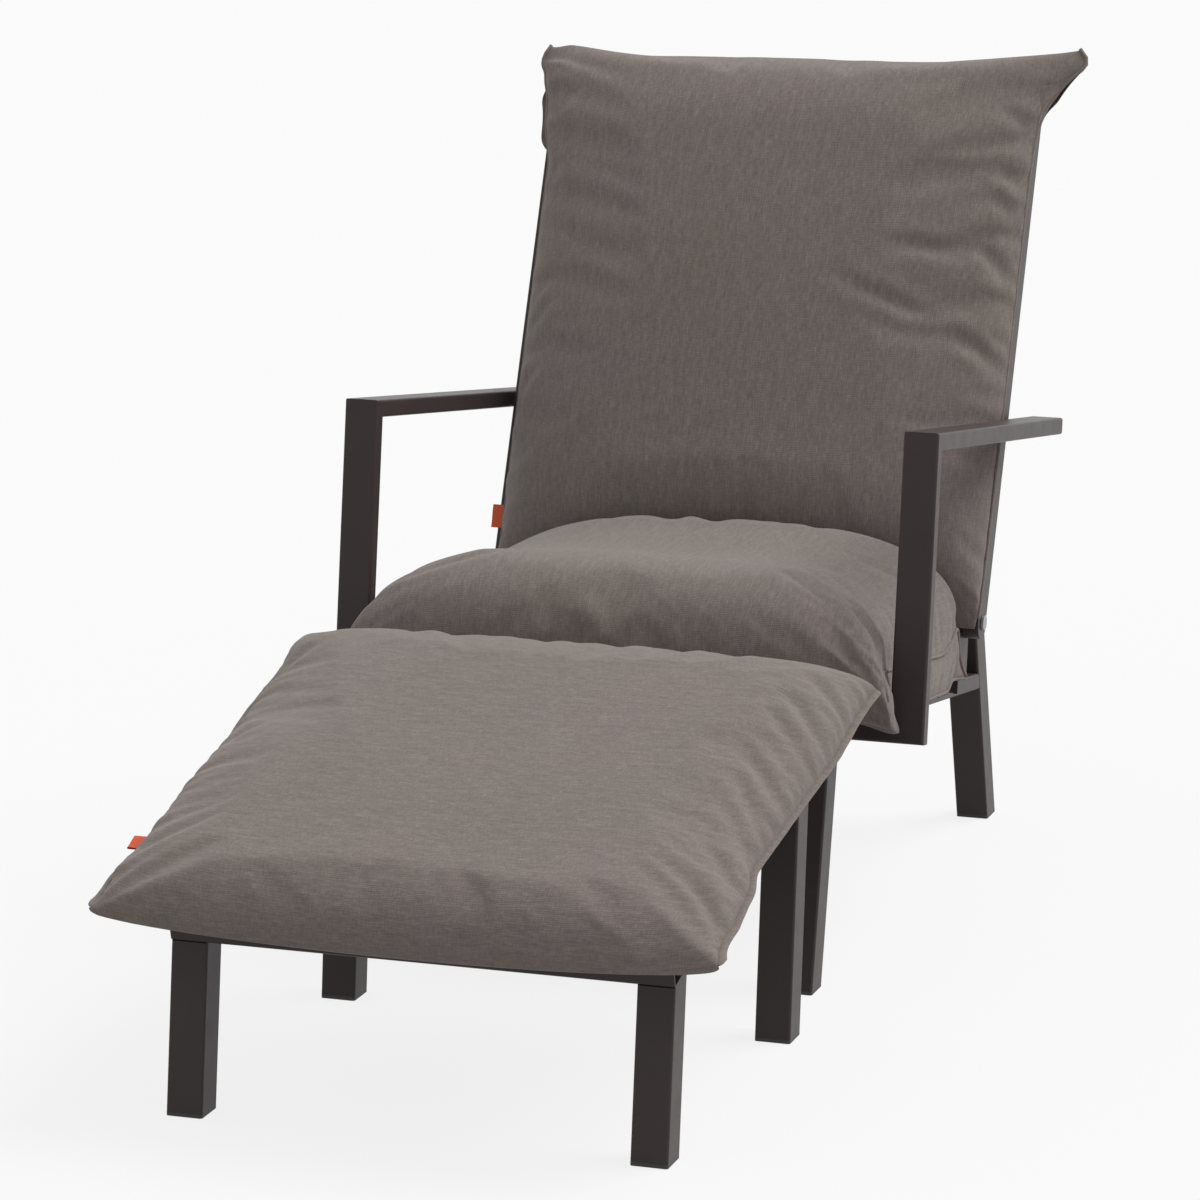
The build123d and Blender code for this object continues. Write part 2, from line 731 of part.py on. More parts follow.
def make_stool_cushion():
    """Footstool cushion: a pillow flat on its frame, its sides drawn in between the corners."""
    pad = Pos(0, 0, flat_depth) * across_width(stool_cushion_half_width, stool_outline)
    frame_space = Pos(0, 0, flat_depth + soft_gap) * Box(
        2 * stool_cushion_half_width, 2 * stool_length + 2 * stool_cushion_front, flat_width,
        align=(Align.CENTER, Align.CENTER, Align.MAX))
    pad = pad - Pos(0, stool_length / 2, 0) * frame_space
    front = -stool_cushion_front - stool_seam_thickness
    rear = stool_length + stool_cushion_rear + stool_seam_thickness
    waist = stool_cushion_half_width - stool_side_draw
    middle = (front + rear) / 2
    corner = stool_cushion_half_width
    outline = make_face([
        Line((-corner, front), (corner, front)),
        ThreePointArc((corner, front), (waist, middle), (corner, rear)),
        Line((corner, rear), (-corner, rear)),
        ThreePointArc((-corner, rear), (-waist, middle), (-corner, front)),
    ])
    keep = Pos(0, 0, -flat_width) * extrude(outline, amount=2 * flat_width + 2 * stool_crown_rear)
    return stool * (pad & keep)


def make_pieces():
    """Every piece by its node's name, in the places where they are made."""
    pieces = {}

    def add_pair(name, piece):
        right, left = both_sides(piece)
        pieces[name + "_right"] = right
        pieces[name + "_left"] = left

    add_pair("armrest", make_arm())
    add_pair("arm_post", make_post())
    pieces["front_rail"] = make_front_rail()
    pieces["armrest_end_caps"] = make_arm_caps()
    add_pair("front_leg", make_front_leg())
    add_pair("rear_leg", make_rear_leg())
    pieces["rear_leg_caps"] = make_rear_leg_caps()
    pieces["chair_glides"] = make_chair_glides()
    add_pair("side_rail", make_side_rail())
    pieces["rear_crossbar"] = make_rear_crossbar()
    pieces["hinge_crossbar"] = cross_slat(hinge_reach)
    pieces["seat_slats"] = make_seat_slats()
    add_pair("hinge_bracket", make_hinge_bracket())
    pieces["hinge_bolts"] = make_hinge_bolts()
    pieces["prop_studs"] = make_prop_studs()
    pieces["seat_cushion"] = make_seat_cushion()

    add_pair("back_tube", make_back_tube())
    pieces["hinge_bushes"] = make_hinge_bushes()
    pieces["back_top_tube"] = make_back_top_tube()
    pieces["back_slats"] = make_back_slats()
    pieces["prop_bar"] = make_prop_bar()
    add_pair("prop_fork", make_fork())
    pieces["fork_pins"] = make_fork_pins()
    pieces["back_cushion"] = make_back_cushion()
    pieces["back_cushion_ears"] = Compound(both_sides(make_ear()))
    pieces["back_hood"] = make_back_hood()

    add_pair("prop_outer_tube", make_prop_outer())
    add_pair("prop_rod", make_prop_rod())

    pieces["stool_front_rail"] = stool_tube_across(flat_width / 2, stool_width / 2)
    pieces["stool_rear_rail"] = stool_tube_across(stool_length - flat_width / 2, stool_width / 2)
    add_pair("stool_side_rail", make_stool_side_rail())
    for end, (foot_reach, edge) in zip(("front", "rear"), stool_feet):
        add_pair("stool_" + end + "_leg", make_stool_leg(foot_reach, edge))
    pieces["stool_glides"] = make_stool_glides()
    pieces["stool_slats"] = make_stool_slats()
    pieces["stool_cushion"] = make_stool_cushion()
    return pieces


pieces = make_pieces()
whole = Compound(list(pieces.values())).bounding_box()
footprint_middle = (whole.min.Y + whole.max.Y) / 2

os.makedirs("parts", exist_ok=True)
for name, piece in pieces.items():
    export_step(Pos(0, -footprint_middle, 0) * piece, os.path.join("parts", name + ".step"))

print("pieces", len(pieces))
print("hinge axis at Y", round(pivot.Y - footprint_middle, 3), "Z", round(pivot.Z, 3))
print("prop stud at Y", round(anchor.Y - footprint_middle, 3), "Z", round(anchor.Z, 3))
print("fork pin at Y", round(fork_pin.Y - footprint_middle, 3), "Z", round(fork_pin.Z, 3))
print("size", [round(value, 1) for value in (whole.size.X, whole.size.Y, whole.size.Z)])
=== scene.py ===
import json
import logging
import math
from dataclasses import dataclass, field
from enum import Enum
from typing import NamedTuple, Sequence

import bpy
import numpy as np
from mathutils import Matrix, Vector


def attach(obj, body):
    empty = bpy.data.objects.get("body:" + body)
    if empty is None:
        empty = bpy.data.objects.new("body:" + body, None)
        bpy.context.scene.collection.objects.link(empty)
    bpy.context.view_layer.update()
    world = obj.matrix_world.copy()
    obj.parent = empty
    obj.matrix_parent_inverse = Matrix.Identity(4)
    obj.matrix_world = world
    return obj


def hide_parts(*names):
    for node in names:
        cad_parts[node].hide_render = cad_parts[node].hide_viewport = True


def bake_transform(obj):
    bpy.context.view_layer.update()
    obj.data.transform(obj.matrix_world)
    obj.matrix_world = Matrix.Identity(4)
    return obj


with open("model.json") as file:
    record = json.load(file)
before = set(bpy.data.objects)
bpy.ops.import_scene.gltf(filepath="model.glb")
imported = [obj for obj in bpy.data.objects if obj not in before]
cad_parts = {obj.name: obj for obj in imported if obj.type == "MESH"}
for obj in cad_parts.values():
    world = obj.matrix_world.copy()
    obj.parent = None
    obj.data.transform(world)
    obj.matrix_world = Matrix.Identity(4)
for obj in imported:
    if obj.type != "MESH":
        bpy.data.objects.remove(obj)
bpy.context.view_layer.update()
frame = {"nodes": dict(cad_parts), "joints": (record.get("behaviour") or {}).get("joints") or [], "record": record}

log = logging.getLogger("garden_armchair")

MM = 0.001
WHITE = (1.0, 1.0, 1.0, 1.0)
Array = np.ndarray
Point = tuple[float, float, float]
Colour = tuple[float, float, float, float]
Span = tuple[float, float]
Rows = tuple[int, int | None]


class Body(Enum):
    """The moving parts that soft pieces ride on."""

    BASE = "base"
    BACK = "back"
    FOOTSTOOL = "footstool"


class Slot(Enum):
    """Material slots of the record."""

    FRAME = "frame_paint"
    PROP_TUBE = "prop_tube_paint"
    PROP_ROD = "prop_rod_steel"
    ZINC = "zinc_steel"
    PLASTIC = "black_plastic"
    BUSH = "bush_plastic"
    FABRIC = "cushion_fabric"


class Side(Enum):
    """A sewn side of a cushion; its value is that side's column in the sheets."""

    LEFT = 0
    RIGHT = -1

    @property
    def outward(self) -> float:
        """Which way X points out of the cushion."""
        return 1.0 if self is Side.RIGHT else -1.0

    @property
    def word(self) -> str:
        """The side as the end of a piece's name."""
        return self.name.lower()


class Lay(Enum):
    """Which way the warp runs on a piece: how the noise of warp and weft is stretched."""

    ALONG = ((1.0, 0.13, 1.0), (0.2, 1.0, 1.0))
    ACROSS = ((0.13, 1.0, 1.0), (1.0, 0.2, 1.0))


# Shader maths


@dataclass(frozen=True)
class Grain:
    """Noise of one size: its scale, its number of octaves and how strong they are."""

    scale: float
    detail: float = 2.0
    rough: float = 0.5


class Wire:
    """One shader value, with the arithmetic that the finishes use."""

    def __init__(self, sheet: "NodeSheet", socket: bpy.types.NodeSocket) -> None:
        """Wrap a socket of a node sheet."""
        self.sheet = sheet
        self.socket = socket

    def _math(self, operation: str, *values: object) -> "Wire":
        """Add one Math node."""
        return self.sheet.add("ShaderNodeMath", {"operation": operation}, list(values))

    def __add__(self, other: object) -> "Wire":
        """Sum."""
        return self._math("ADD", self, other)

    def __radd__(self, other: object) -> "Wire":
        """Sum, from the right."""
        return self._math("ADD", other, self)

    def __sub__(self, other: object) -> "Wire":
        """Difference."""
        return self._math("SUBTRACT", self, other)

    def __rsub__(self, other: object) -> "Wire":
        """Difference, from the right."""
        return self._math("SUBTRACT", other, self)

    def __mul__(self, other: object) -> "Wire":
        """Product."""
        return self._math("MULTIPLY", self, other)

    def __rmul__(self, other: object) -> "Wire":
        """Product, from the right."""
        return self._math("MULTIPLY", other, self)

    def clamp(self) -> "Wire":
        """The value kept between 0 and 1."""
        return self.sheet.add("ShaderNodeClamp", {}, [self, 0.0, 1.0])

    def part(self, name: str) -> "Wire":
        """Another output of the same node."""
        return Wire(self.sheet, self.socket.node.outputs[name])


class NodeSheet:
    """A node tree that is built up node by node."""

    def __init__(self, tree: bpy.types.NodeTree) -> None:
        """Start with an empty tree."""
        self.tree = tree
        self.tree.nodes.clear()

    def add(self, kind: str, settings: dict[str, object] | None = None,
            inputs: dict[str, object] | Sequence[object] | None = None, out: str | int = 0) -> Wire:
        """Add a node.

        Args:
            kind: The node's type.
            settings: Its settings, set before its inputs; "stops" are a colour ramp's stops.
            inputs: Values or wires, by socket name or in order.
            out: Which output to give back.

        Returns:
            The chosen output.
        """
        node = self.tree.nodes.new(kind)
        for key, value in (settings or {}).items():
            if key == "stops":
                ramp = node.color_ramp.elements
                while len(ramp) < len(value):
                    ramp.new(1.0)
                for element, (place, colour) in zip(ramp, value):
                    element.position = place
                    element.color = colour
            else:
                setattr(node, key, value)
        named = inputs.items() if isinstance(inputs, dict) else enumerate(inputs or [])
        for key, value in named:
            self.feed(node.inputs[key], value)
        return Wire(self, node.outputs[out])

    def feed(self, socket: bpy.types.NodeSocket, value: object) -> None:
        """Link a wire to a socket, or set the socket's value.

        Args:
            socket: The input socket.
            value: A wire, or a number, colour or vector.
        """
        if isinstance(value, Wire):
            self.tree.links.new(value.socket, socket)
        else:
            socket.default_value = value

    def show(self, kind: str, surface: Wire) -> None:
        """Add the tree's output node and link a surface to it."""
        self.feed(self.tree.nodes.new(kind).inputs["Surface"], surface)

    def place(self) -> Wire:
        """Object coordinates."""
        return self.add("ShaderNodeTexCoord", out="Object")

    def cloth(self) -> Wire:
        """The piece's own cloth coordinates."""
        return self.add("ShaderNodeAttribute", {"attribute_name": "cloth"}, out="Vector")

    def seen(self) -> Wire:
        """1 for camera, glossy and transmission rays, which see the pale background."""
        rays = self.add("ShaderNodeLightPath", out="Is Camera Ray")
        return (rays + rays.part("Is Glossy Ray") + rays.part("Is Transmission Ray")).clamp()

    def mix(self, share: object, first: object, second: object, blend: str = "MIX") -> Wire:
        """Mix two colours.

        Args:
            share: How much of the second, 0 to 1.
            first: A colour.
            second: Another colour.
            blend: The Mix node's blend type.

        Returns:
            The mixed colour.
        """
        mixed = self.add("ShaderNodeMix", {"data_type": "RGBA", "blend_type": blend}, out=2)
        for number, value in ((0, share), (6, first), (7, second)):
            self.feed(mixed.socket.node.inputs[number], value)
        return mixed

    def mapped(self, source: Wire, scale: Point) -> Wire:
        """Stretch a pattern's coordinates."""
        return self.add("ShaderNodeMapping", {}, {"Vector": source, "Scale": scale})

    def noise(self, source: Wire, grain: Grain) -> Wire:
        """Noise between 0 and 1."""
        size = {"Scale": grain.scale, "Detail": grain.detail, "Roughness": grain.rough}
        return self.add("ShaderNodeTexNoise", {}, {"Vector": source, **size})

    def bump(self, height: Wire, distance: float, strength: float, under: Wire | None = None) -> Wire:
        """A bump, on top of another bump if one is given.

        Args:
            height: Its height, 0 to 1.
            distance: How far a height of 1 stands out, in metres.
            strength: How much of it shows.
            under: The bump below it.

        Returns:
            The normal.
        """
        values: dict[str, object] = {"Height": height, "Distance": distance, "Strength": strength}
        if under is not None:
            values["Normal"] = under
        return self.add("ShaderNodeBump", {}, values)


class Finish(NodeSheet):
    """The node tree of one material, with its Principled shader."""

    def __init__(self, name: str) -> None:
        """Start a material.

        Args:
            name: The material's name.
        """
        self.material = bpy.data.materials.new(name)
        self.material.use_nodes = True
        super().__init__(self.material.node_tree)
        self.shader = self.add("ShaderNodeBsdfPrincipled")

    def set(self, **values: object) -> None:
        """Set the Principled shader's sockets; underscores stand for spaces."""
        for key, value in values.items():
            self.feed(self.shader.socket.node.inputs[key.replace("_", " ")], value)

    def done(self, surface: Wire | None = None) -> bpy.types.Material:
        """Show the Principled shader, or another surface, and give the material back."""
        self.show("ShaderNodeOutputMaterial", surface or self.shader)
        return self.material


def linear(red: float, green: float, blue: float) -> Colour:
    """Linear values of an sRGB colour: a straight piece near black, then a power of 2.4.

    Args:
        red: Red, 0 to 255.
        green: Green, 0 to 255.
        blue: Blue, 0 to 255.

    Returns:
        The colour for a shader.
    """
    levels = np.array([red, green, blue]) / 255
    low = levels / 12.92
    high = ((levels + 0.055) / 1.055) ** 2.4
    return (*np.where(levels <= 0.04045, low, high).tolist(), 1.0)


def scaled(colour: Colour, share: float) -> Colour:
    """A colour with all its light scaled by a share."""
    return tuple(share * value for value in colour[:3]) + (1.0,)


@dataclass(frozen=True)
class PowderCoat:
    """Fine-textured matt powder coat on aluminium."""

    name: str = "powder_coat"
    colour: Point = (59, 51, 51)
    worn: Point = (75, 67, 65)
    roughness: float = 0.4
    gloss: float = 0.2
    texture: Grain = Grain(1400.0, 2.0, 0.6)
    texture_depth: float = 0.00006
    texture_strength: float = 0.7
    drift: Grain = Grain(9.0, 3.0, 0.55)
    smudge: Grain = Grain(45.0, 4.0, 0.6)
    tone_shares: Point = (0.5, 0.3, 0.2)
    tone_start: float = 0.35
    smudge_roughness: float = 0.16
    texture_roughness: float = 0.1

    def make(self) -> bpy.types.Material:
        """Colour drifts slowly over a piece; the texture shows in roughness and bump.

        Returns:
            The material.
        """
        sheet = Finish(self.name)
        place = sheet.place()
        texture = sheet.noise(place, self.texture)
        drift = sheet.noise(place, self.drift)
        smudge = sheet.noise(place, self.smudge)
        slow, blotched, fine = self.tone_shares
        tone = (drift * slow + smudge * blotched + texture * fine - self.tone_start).clamp()
        mean = (self.smudge_roughness + self.texture_roughness) / 2
        uneven = smudge * self.smudge_roughness + texture * self.texture_roughness
        sheet.set(Base_Color=sheet.mix(tone, linear(*self.colour), linear(*self.worn)),
                  Roughness=uneven + (self.roughness - mean),
                  Normal=sheet.bump(texture, self.texture_depth, self.texture_strength),
                  Specular_IOR_Level=self.gloss)
        return sheet.done()


@dataclass(frozen=True)
class ZincPlate:
    """Zinc-plated steel, slightly cloudy."""

    name: str = "zinc_plate"
    colour: Point = (176, 177, 180)
    stretch: Point = (1.0, 1.0, 1.0)
    marks: Grain = Grain(700.0)
    marks_depth: float = 0.00002
    marks_strength: float = 0.6
    cloud: Grain = Grain(60.0, 3.0, 0.6)
    dull_share: float = 0.7
    roughness: float = 0.2
    cloud_roughness: float = 0.25
    marks_roughness: float = 0.12

    def make(self) -> bpy.types.Material:
        """Cloudy roughness, with fine turning marks where the pattern is stretched.

        Returns:
            The material.
        """
        sheet = Finish(self.name)
        place = sheet.place()
        marks = sheet.noise(sheet.mapped(place, self.stretch), self.marks)
        cloud = sheet.noise(place, self.cloud)
        base = linear(*self.colour)
        sheet.set(Base_Color=sheet.mix(cloud, scaled(base, self.dull_share), base),
                  Metallic=1.0,
                  Roughness=cloud * self.cloud_roughness + marks * self.marks_roughness + self.roughness,
                  Normal=sheet.bump(marks, self.marks_depth, self.marks_strength))
        return sheet.done()


@dataclass(frozen=True)
class MouldedPlastic:
    """Moulded plastic with a fine spark-eroded grain."""

    name: str = "moulded_plastic"
    colour: Point = (38, 37, 37)
    grain: Grain = Grain(2200.0)
    grain_depth: float = 0.00004
    grain_strength: float = 0.6
    drift: Grain = Grain(30.0, 3.0)
    light_share: float = 1.5
    roughness: float = 0.42
    grain_roughness: float = 0.2

    def make(self) -> bpy.types.Material:
        """Grain in bump and roughness over a nearly even colour.

        Returns:
            The material.
        """
        sheet = Finish(self.name)
        place = sheet.place()
        grain = sheet.noise(place, self.grain)
        drift = sheet.noise(place, self.drift)
        base = linear(*self.colour)
        sheet.set(Base_Color=sheet.mix(drift, base, scaled(base, self.light_share)),
                  Roughness=grain * self.grain_roughness + self.roughness,
                  Normal=sheet.bump(grain, self.grain_depth, self.grain_strength))
        return sheet.done()


@dataclass(frozen=True)
class HeatheredCloth:
    """Plain weave of mixed light and dark yarns, read from the piece's own cloth coordinates."""

    name: str = "cushion_cloth"
    lay: Lay = Lay.ALONG
    colours: tuple[Point, Point, Point] = ((101, 92, 90), (119, 110, 106), (138, 130, 125))
    colour_places: Point = (0.3, 0.5, 0.7)
    warp: Grain = Grain(620.0, 2.0, 0.6)
    weft: Grain = Grain(560.0, 2.0, 0.6)
    slub: Grain = Grain(170.0)
    yarn_shares: Point = (0.5, 0.34, 0.24)
    yarn_start: float = 0.04
    cloud: Grain = Grain(6.5, 3.0)
    cloud_colours: tuple[Colour, Colour] = ((0.93, 0.93, 0.9, 1.0), (1.05, 1.03, 1.04, 1.0))
    tint: Grain = Grain(3.1)
    tint_colours: tuple[Colour, Colour] = ((0.975, 1.014, 0.95, 1.0), (1.015, 0.978, 1.035, 1.0))
    thread: float = 0.0011
    weave_depth: float = 0.00035
    weave_strength: float = 0.5
    yarn_depth: float = 0.0004
    yarn_strength: float = 0.6
    roughness: float = 0.82
    warp_roughness: float = 0.12
    sheen_tint: Colour = (0.9, 0.88, 0.86, 1.0)

    def weave(self, sheet: Finish, cloth: Wire) -> Wire:
        """Height of the weave: the product of two slightly uneven waves, one thread wide.

        Args:
            sheet: The material's nodes.
            cloth: Cloth coordinates.

        Returns:
            The height, 0 to 1.
        """
        wave_turn = 20.0
        values = {"Vector": cloth, "Scale": math.tau / (wave_turn * 2 * self.thread),
                  "Distortion": 0.6, "Detail": 1.0, "Detail Scale": 3.0}
        across, along = (sheet.add("ShaderNodeTexWave", {"bands_direction": direction}, values, "Fac")
                         for direction in ("X", "Y"))
        return across * along

    def make(self) -> bpy.types.Material:
        """Long thin noise along each yarn makes the heather; two waves make the weave.

        Returns:
            The material.
        """
        sheet = Finish(self.name)
        cloth = sheet.cloth()
        place = sheet.place()
        along, across = self.lay.value
        warp = sheet.noise(sheet.mapped(cloth, along), self.warp)
        weft = sheet.noise(sheet.mapped(cloth, across), self.weft)
        slub = sheet.noise(sheet.mapped(cloth, along), self.slub)
        warp_share, weft_share, slub_share = self.yarn_shares
        yarn = warp * warp_share + weft * weft_share + slub * slub_share - self.yarn_start
        stops = tuple((at, linear(*colour)) for at, colour in zip(self.colour_places, self.colours))
        colour = sheet.add("ShaderNodeValToRGB", {"stops": stops}, [yarn])
        cloud = sheet.mix(sheet.noise(place, self.cloud), *self.cloud_colours)
        tint = sheet.mix(sheet.noise(place, self.tint), *self.tint_colours)
        colour = sheet.mix(1.0, sheet.mix(1.0, colour, cloud, "MULTIPLY"), tint, "MULTIPLY")
        bump = sheet.bump(self.weave(sheet, cloth), self.weave_depth, self.weave_strength)
        bump = sheet.bump(yarn, self.yarn_depth, self.yarn_strength, bump)
        sheet.set(Base_Color=colour,
                  Roughness=warp * self.warp_roughness + self.roughness,
                  Normal=bump,
                  Specular_IOR_Level=0.18,
                  Sheen_Weight=0.22,
                  Sheen_Roughness=0.5,
                  Sheen_Tint=self.sheen_tint)
        return sheet.done()


@dataclass(frozen=True)
class RibbonTab:
    """Plain orange ribbon with a fine rib."""

    name: str = "ribbon_tab"
    colour: Point = (226, 92, 52)
    dull_share: float = 0.72
    spread: Grain = Grain(900.0)
    rib_scale: float = 160.0
    rib_distortion: float = 0.3
    rib_depth: float = 0.0002
    rib_strength: float = 0.6
    roughness: float = 0.6
    spread_roughness: float = 0.15

    def make(self) -> bpy.types.Material:
        """A ribbed ribbon, its colour a little uneven.

        Returns:
            The material.
        """
        sheet = Finish(self.name)
        cloth = sheet.cloth()
        values = {"Vector": cloth, "Scale": self.rib_scale, "Distortion": self.rib_distortion}
        rib = sheet.add("ShaderNodeTexWave", {"bands_direction": "Y"}, values, "Fac")
        spread = sheet.noise(cloth, self.spread)
        base = linear(*self.colour)
        sheet.set(Base_Color=sheet.mix(spread, scaled(base, self.dull_share), base),
                  Roughness=spread * self.spread_roughness + self.roughness,
                  Normal=sheet.bump(rib, self.rib_depth, self.rib_strength))
        return sheet.done()


# Surfaces


@dataclass(frozen=True)
class WorkPlane:
    """A plane that pieces are laid out in, in millimetres: x across, y along, z out of it."""

    origin: Point
    slope: float

    def world(self, points: Array) -> Array:
        """Turn by the slope about X and move to the origin.

        Args:
            points: Points in the plane, in millimetres.

        Returns:
            The points in the shared frame, in metres.
        """
        angle = math.radians(self.slope)
        c, s = math.cos(angle), math.sin(angle)
        x, y, z = np.moveaxis(np.asarray(points, float), -1, 0)
        turned = np.stack([x, y * c - z * s, y * s + z * c], axis=-1)
        return (turned + np.array(self.origin)) * MM

    def local(self, points: Array) -> Array:
        """The inverse of world.

        Args:
            points: Points in the shared frame, in metres.

        Returns:
            The points in the plane, in millimetres.
        """
        angle = math.radians(self.slope)
        c, s = math.cos(angle), math.sin(angle)
        x, y, z = np.moveaxis(np.asarray(points, float) / MM - np.array(self.origin), -1, 0)
        return np.stack([x, y * c + z * s, -y * s + z * c], axis=-1)


def joint_place(name: str) -> Point:
    """Where a joint of the frame stands, in metres."""
    return next(tuple(joint["pos_m"]) for joint in frame["joints"] if joint["name"] == name)


# The deck's plane starts at the front of the armrests' top faces and falls to the rear. The
# backrest's runs up through the middle of the back tubes from the hinge. The footstool's lies
# along the underside of its frame and rises to the rear.

HINGE = joint_place("back_recline")
DECK = WorkPlane(origin=(0.0, HINGE[1] / MM - 386.041, 621.0), slope=-8.2)
BACKREST = WorkPlane(origin=(0.0, HINGE[1] / MM, HINGE[2] / MM), slope=67.2)
STOOL = WorkPlane(origin=(0.0, HINGE[1] / MM - 1094.041, 181.0), slope=14.0)
DECK_TOP = -306.0
CREASE_START = (0.0, 322.0, DECK_TOP + 172.0)
CREASE_FALL = 56.0
SOFT_GAP = 0.4


def crease_plane() -> tuple[Array, Array]:
    """The plane between the seat cushion and the back cushion.

    Returns:
        A point of it, and its normal, to the rear and up.
    """
    fall = math.radians(CREASE_FALL)
    x, y, z = CREASE_START
    point = DECK.world(np.array([x, y, z]))
    ahead = DECK.world(np.array([x, y + math.cos(fall), z - math.sin(fall)]))
    along = (ahead - point) / np.linalg.norm(ahead - point)
    return point, np.cross((1.0, 0.0, 0.0), along)


def spline_weights(knots: Array, at: Array) -> Array:
    """Weights of a natural cubic spline.

    The spline's second derivatives solve a three-banded system that is linear in the values, so
    the whole spline is one matrix times the values.

    Args:
        knots: Rising places of the values.
        at: Where the spline is wanted.

    Returns:
        A matrix with a row for each wanted place and a column for each value.
    """
    count = len(knots)
    gaps = np.diff(knots)
    bands = np.eye(count)
    values = np.zeros((count, count))
    inner = np.arange(1, count - 1)
    bands[inner, inner - 1] = gaps[:-1] / 6
    bands[inner, inner] = (gaps[:-1] + gaps[1:]) / 3
    bands[inner, inner + 1] = gaps[1:] / 6
    values[inner, inner - 1] = 1 / gaps[:-1]
    values[inner, inner] = -1 / gaps[:-1] - 1 / gaps[1:]
    values[inner, inner + 1] = 1 / gaps[1:]
    curvature = np.linalg.solve(bands, values)
    cell = np.clip(np.searchsorted(knots, at, side="right") - 1, 0, count - 2)
    gap = gaps[cell][:, None]
    right = (at[:, None] - knots[cell][:, None]) / gap
    left = 1 - right
    unit = np.eye(count)
    return (left * unit[cell] + right * unit[cell + 1]
            + ((left ** 3 - left) * curvature[cell] + (right ** 3 - right) * curvature[cell + 1])
            * gap ** 2 / 6)


def even_steps(curve: Array, count: int) -> Array:
    """Parameters of count points, evenly spaced along a densely sampled curve.

    Args:
        curve: Points along the curve, at parameters from 0 to 1.
        count: How many points are wanted.

    Returns:
        Their parameters, from 0 to 1.
    """
    steps = np.linalg.norm(np.diff(curve, axis=0), axis=1)
    length = np.concatenate([[0.0], np.cumsum(steps)])
    return np.interp(np.linspace(0, length[-1], count), length, np.linspace(0, 1, len(curve)))


def smooth(low: float, high: float, value: Array) -> Array:
    """Rise from 0 at low to 1 at high with level ends."""
    t = np.clip((value - low) / (high - low), 0, 1)
    return t * t * (3 - 2 * t)


@dataclass(frozen=True)
class Stretch:
    """A stretch of a line with soft ends: it rises over one span and falls over the next."""

    rise: Span
    fall: Span

    def weigh(self, place: Array, weight: Array | float = 1.0) -> Array:
        """The weight inside the stretch, and nothing outside."""
        return weight * smooth(*self.rise, place) * (1 - smooth(*self.fall, place))


def normals_of(sheet: Array) -> Array:
    """Unit normals of a grid of points, from its differences along rows and columns."""
    normal = np.cross(np.gradient(sheet, axis=0), np.gradient(sheet, axis=1))
    return normal / np.maximum(np.linalg.norm(normal, axis=-1, keepdims=True), 1e-9)


@dataclass
class Patch:
    """A grid of points with their cloth coordinates and how firmly each is held, 0 to 1."""

    points: Array
    cloth: Array
    pins: Array
    flip: bool = False

    def quads(self, first: int) -> Array:
        """Quads between neighbouring rows and columns.

        Args:
            first: The number of the patch's first point.

        Returns:
            Four point numbers for each quad.
        """
        grid = first + np.arange(self.pins.size).reshape(self.pins.shape)
        quads = np.stack([grid[:-1, :-1], grid[1:, :-1], grid[1:, 1:], grid[:-1, 1:]], axis=-1)
        quads = quads.reshape(-1, 4)
        return quads[:, ::-1] if self.flip else quads


def joined(patches: Sequence[Patch]) -> tuple[Array, Array, Array, Array]:
    """Put patches one after the other.

    Args:
        patches: The patches.

    Returns:
        Points, quads, cloth coordinates and pins.
    """
    firsts = np.cumsum([0] + [patch.pins.size for patch in patches])
    return (np.concatenate([patch.points.reshape(-1, 3) for patch in patches]),
            np.concatenate([patch.quads(first) for patch, first in zip(patches, firsts)]),
            np.concatenate([patch.cloth.reshape(-1, 3) for patch in patches]),
            np.concatenate([patch.pins.ravel() for patch in patches]))


def welded(points: Array, quads: Array, cloth: Array, pins: Array, tolerance: float = 2e-5
           ) -> tuple[Array, Array, Array, Array]:
    """Join points that lie together and drop the faces that this empties.

    Args:
        points: All points, in metres.
        quads: Faces of four points.
        cloth: Cloth coordinates of the points.
        pins: How firmly each point is held, 0 to 1.
        tolerance: Points in the same cell of this size become one.

    Returns:
        Points, quads, cloth coordinates and pins after joining.
    """
    keys = np.round(points / tolerance).astype(np.int64)
    _, first, back = np.unique(keys, axis=0, return_index=True, return_inverse=True)
    back = back.reshape(-1)
    quads = back[quads]
    held = np.zeros(len(first))
    np.maximum.at(held, back, pins)
    ordered = np.sort(quads, axis=1)
    distinct = 1 + (np.diff(ordered, axis=1) > 0).sum(axis=1)
    return points[first], quads[distinct >= 3], cloth[first], held


def make_mesh(name: str, points: Array, quads: Array, cloth: Array | None = None
              ) -> bpy.types.Object:
    """A mesh object in the shared frame.

    Args:
        name: The piece's name.
        points: Points in metres.
        quads: Faces; a face with two equal neighbouring corners becomes a triangle.
        cloth: Cloth coordinates in metres, stored as the attribute that the weave reads.

    Returns:
        The object, at the origin.
    """
    same = quads == np.roll(quads, -1, axis=1)
    folded = same.any(axis=1)
    triangles = quads[folded][~same[folded]].reshape(-1, 3) if folded.any() else np.zeros((0, 3), int)
    mesh = bpy.data.meshes.new(name)
    mesh.from_pydata(points.tolist(), [], quads[~folded].tolist() + triangles.tolist())
    mesh.update()
    if cloth is not None:
        layer = mesh.attributes.new("cloth", "FLOAT_VECTOR", "POINT")
        layer.data.foreach_set("vector", cloth.astype(np.float32).ravel())
    mesh.shade_smooth()
    obj = bpy.data.objects.new(name, mesh)
    bpy.context.scene.collection.objects.link(obj)
    return obj


def coordinates(mesh: bpy.types.Mesh) -> Array:
    """A mesh's points.

    Args:
        mesh: The mesh.

    Returns:
        One row for each point, in metres.
    """
    flat = np.empty(len(mesh.vertices) * 3, np.float32)
    mesh.vertices.foreach_get("co", flat)
    return flat.reshape(-1, 3).astype(float)


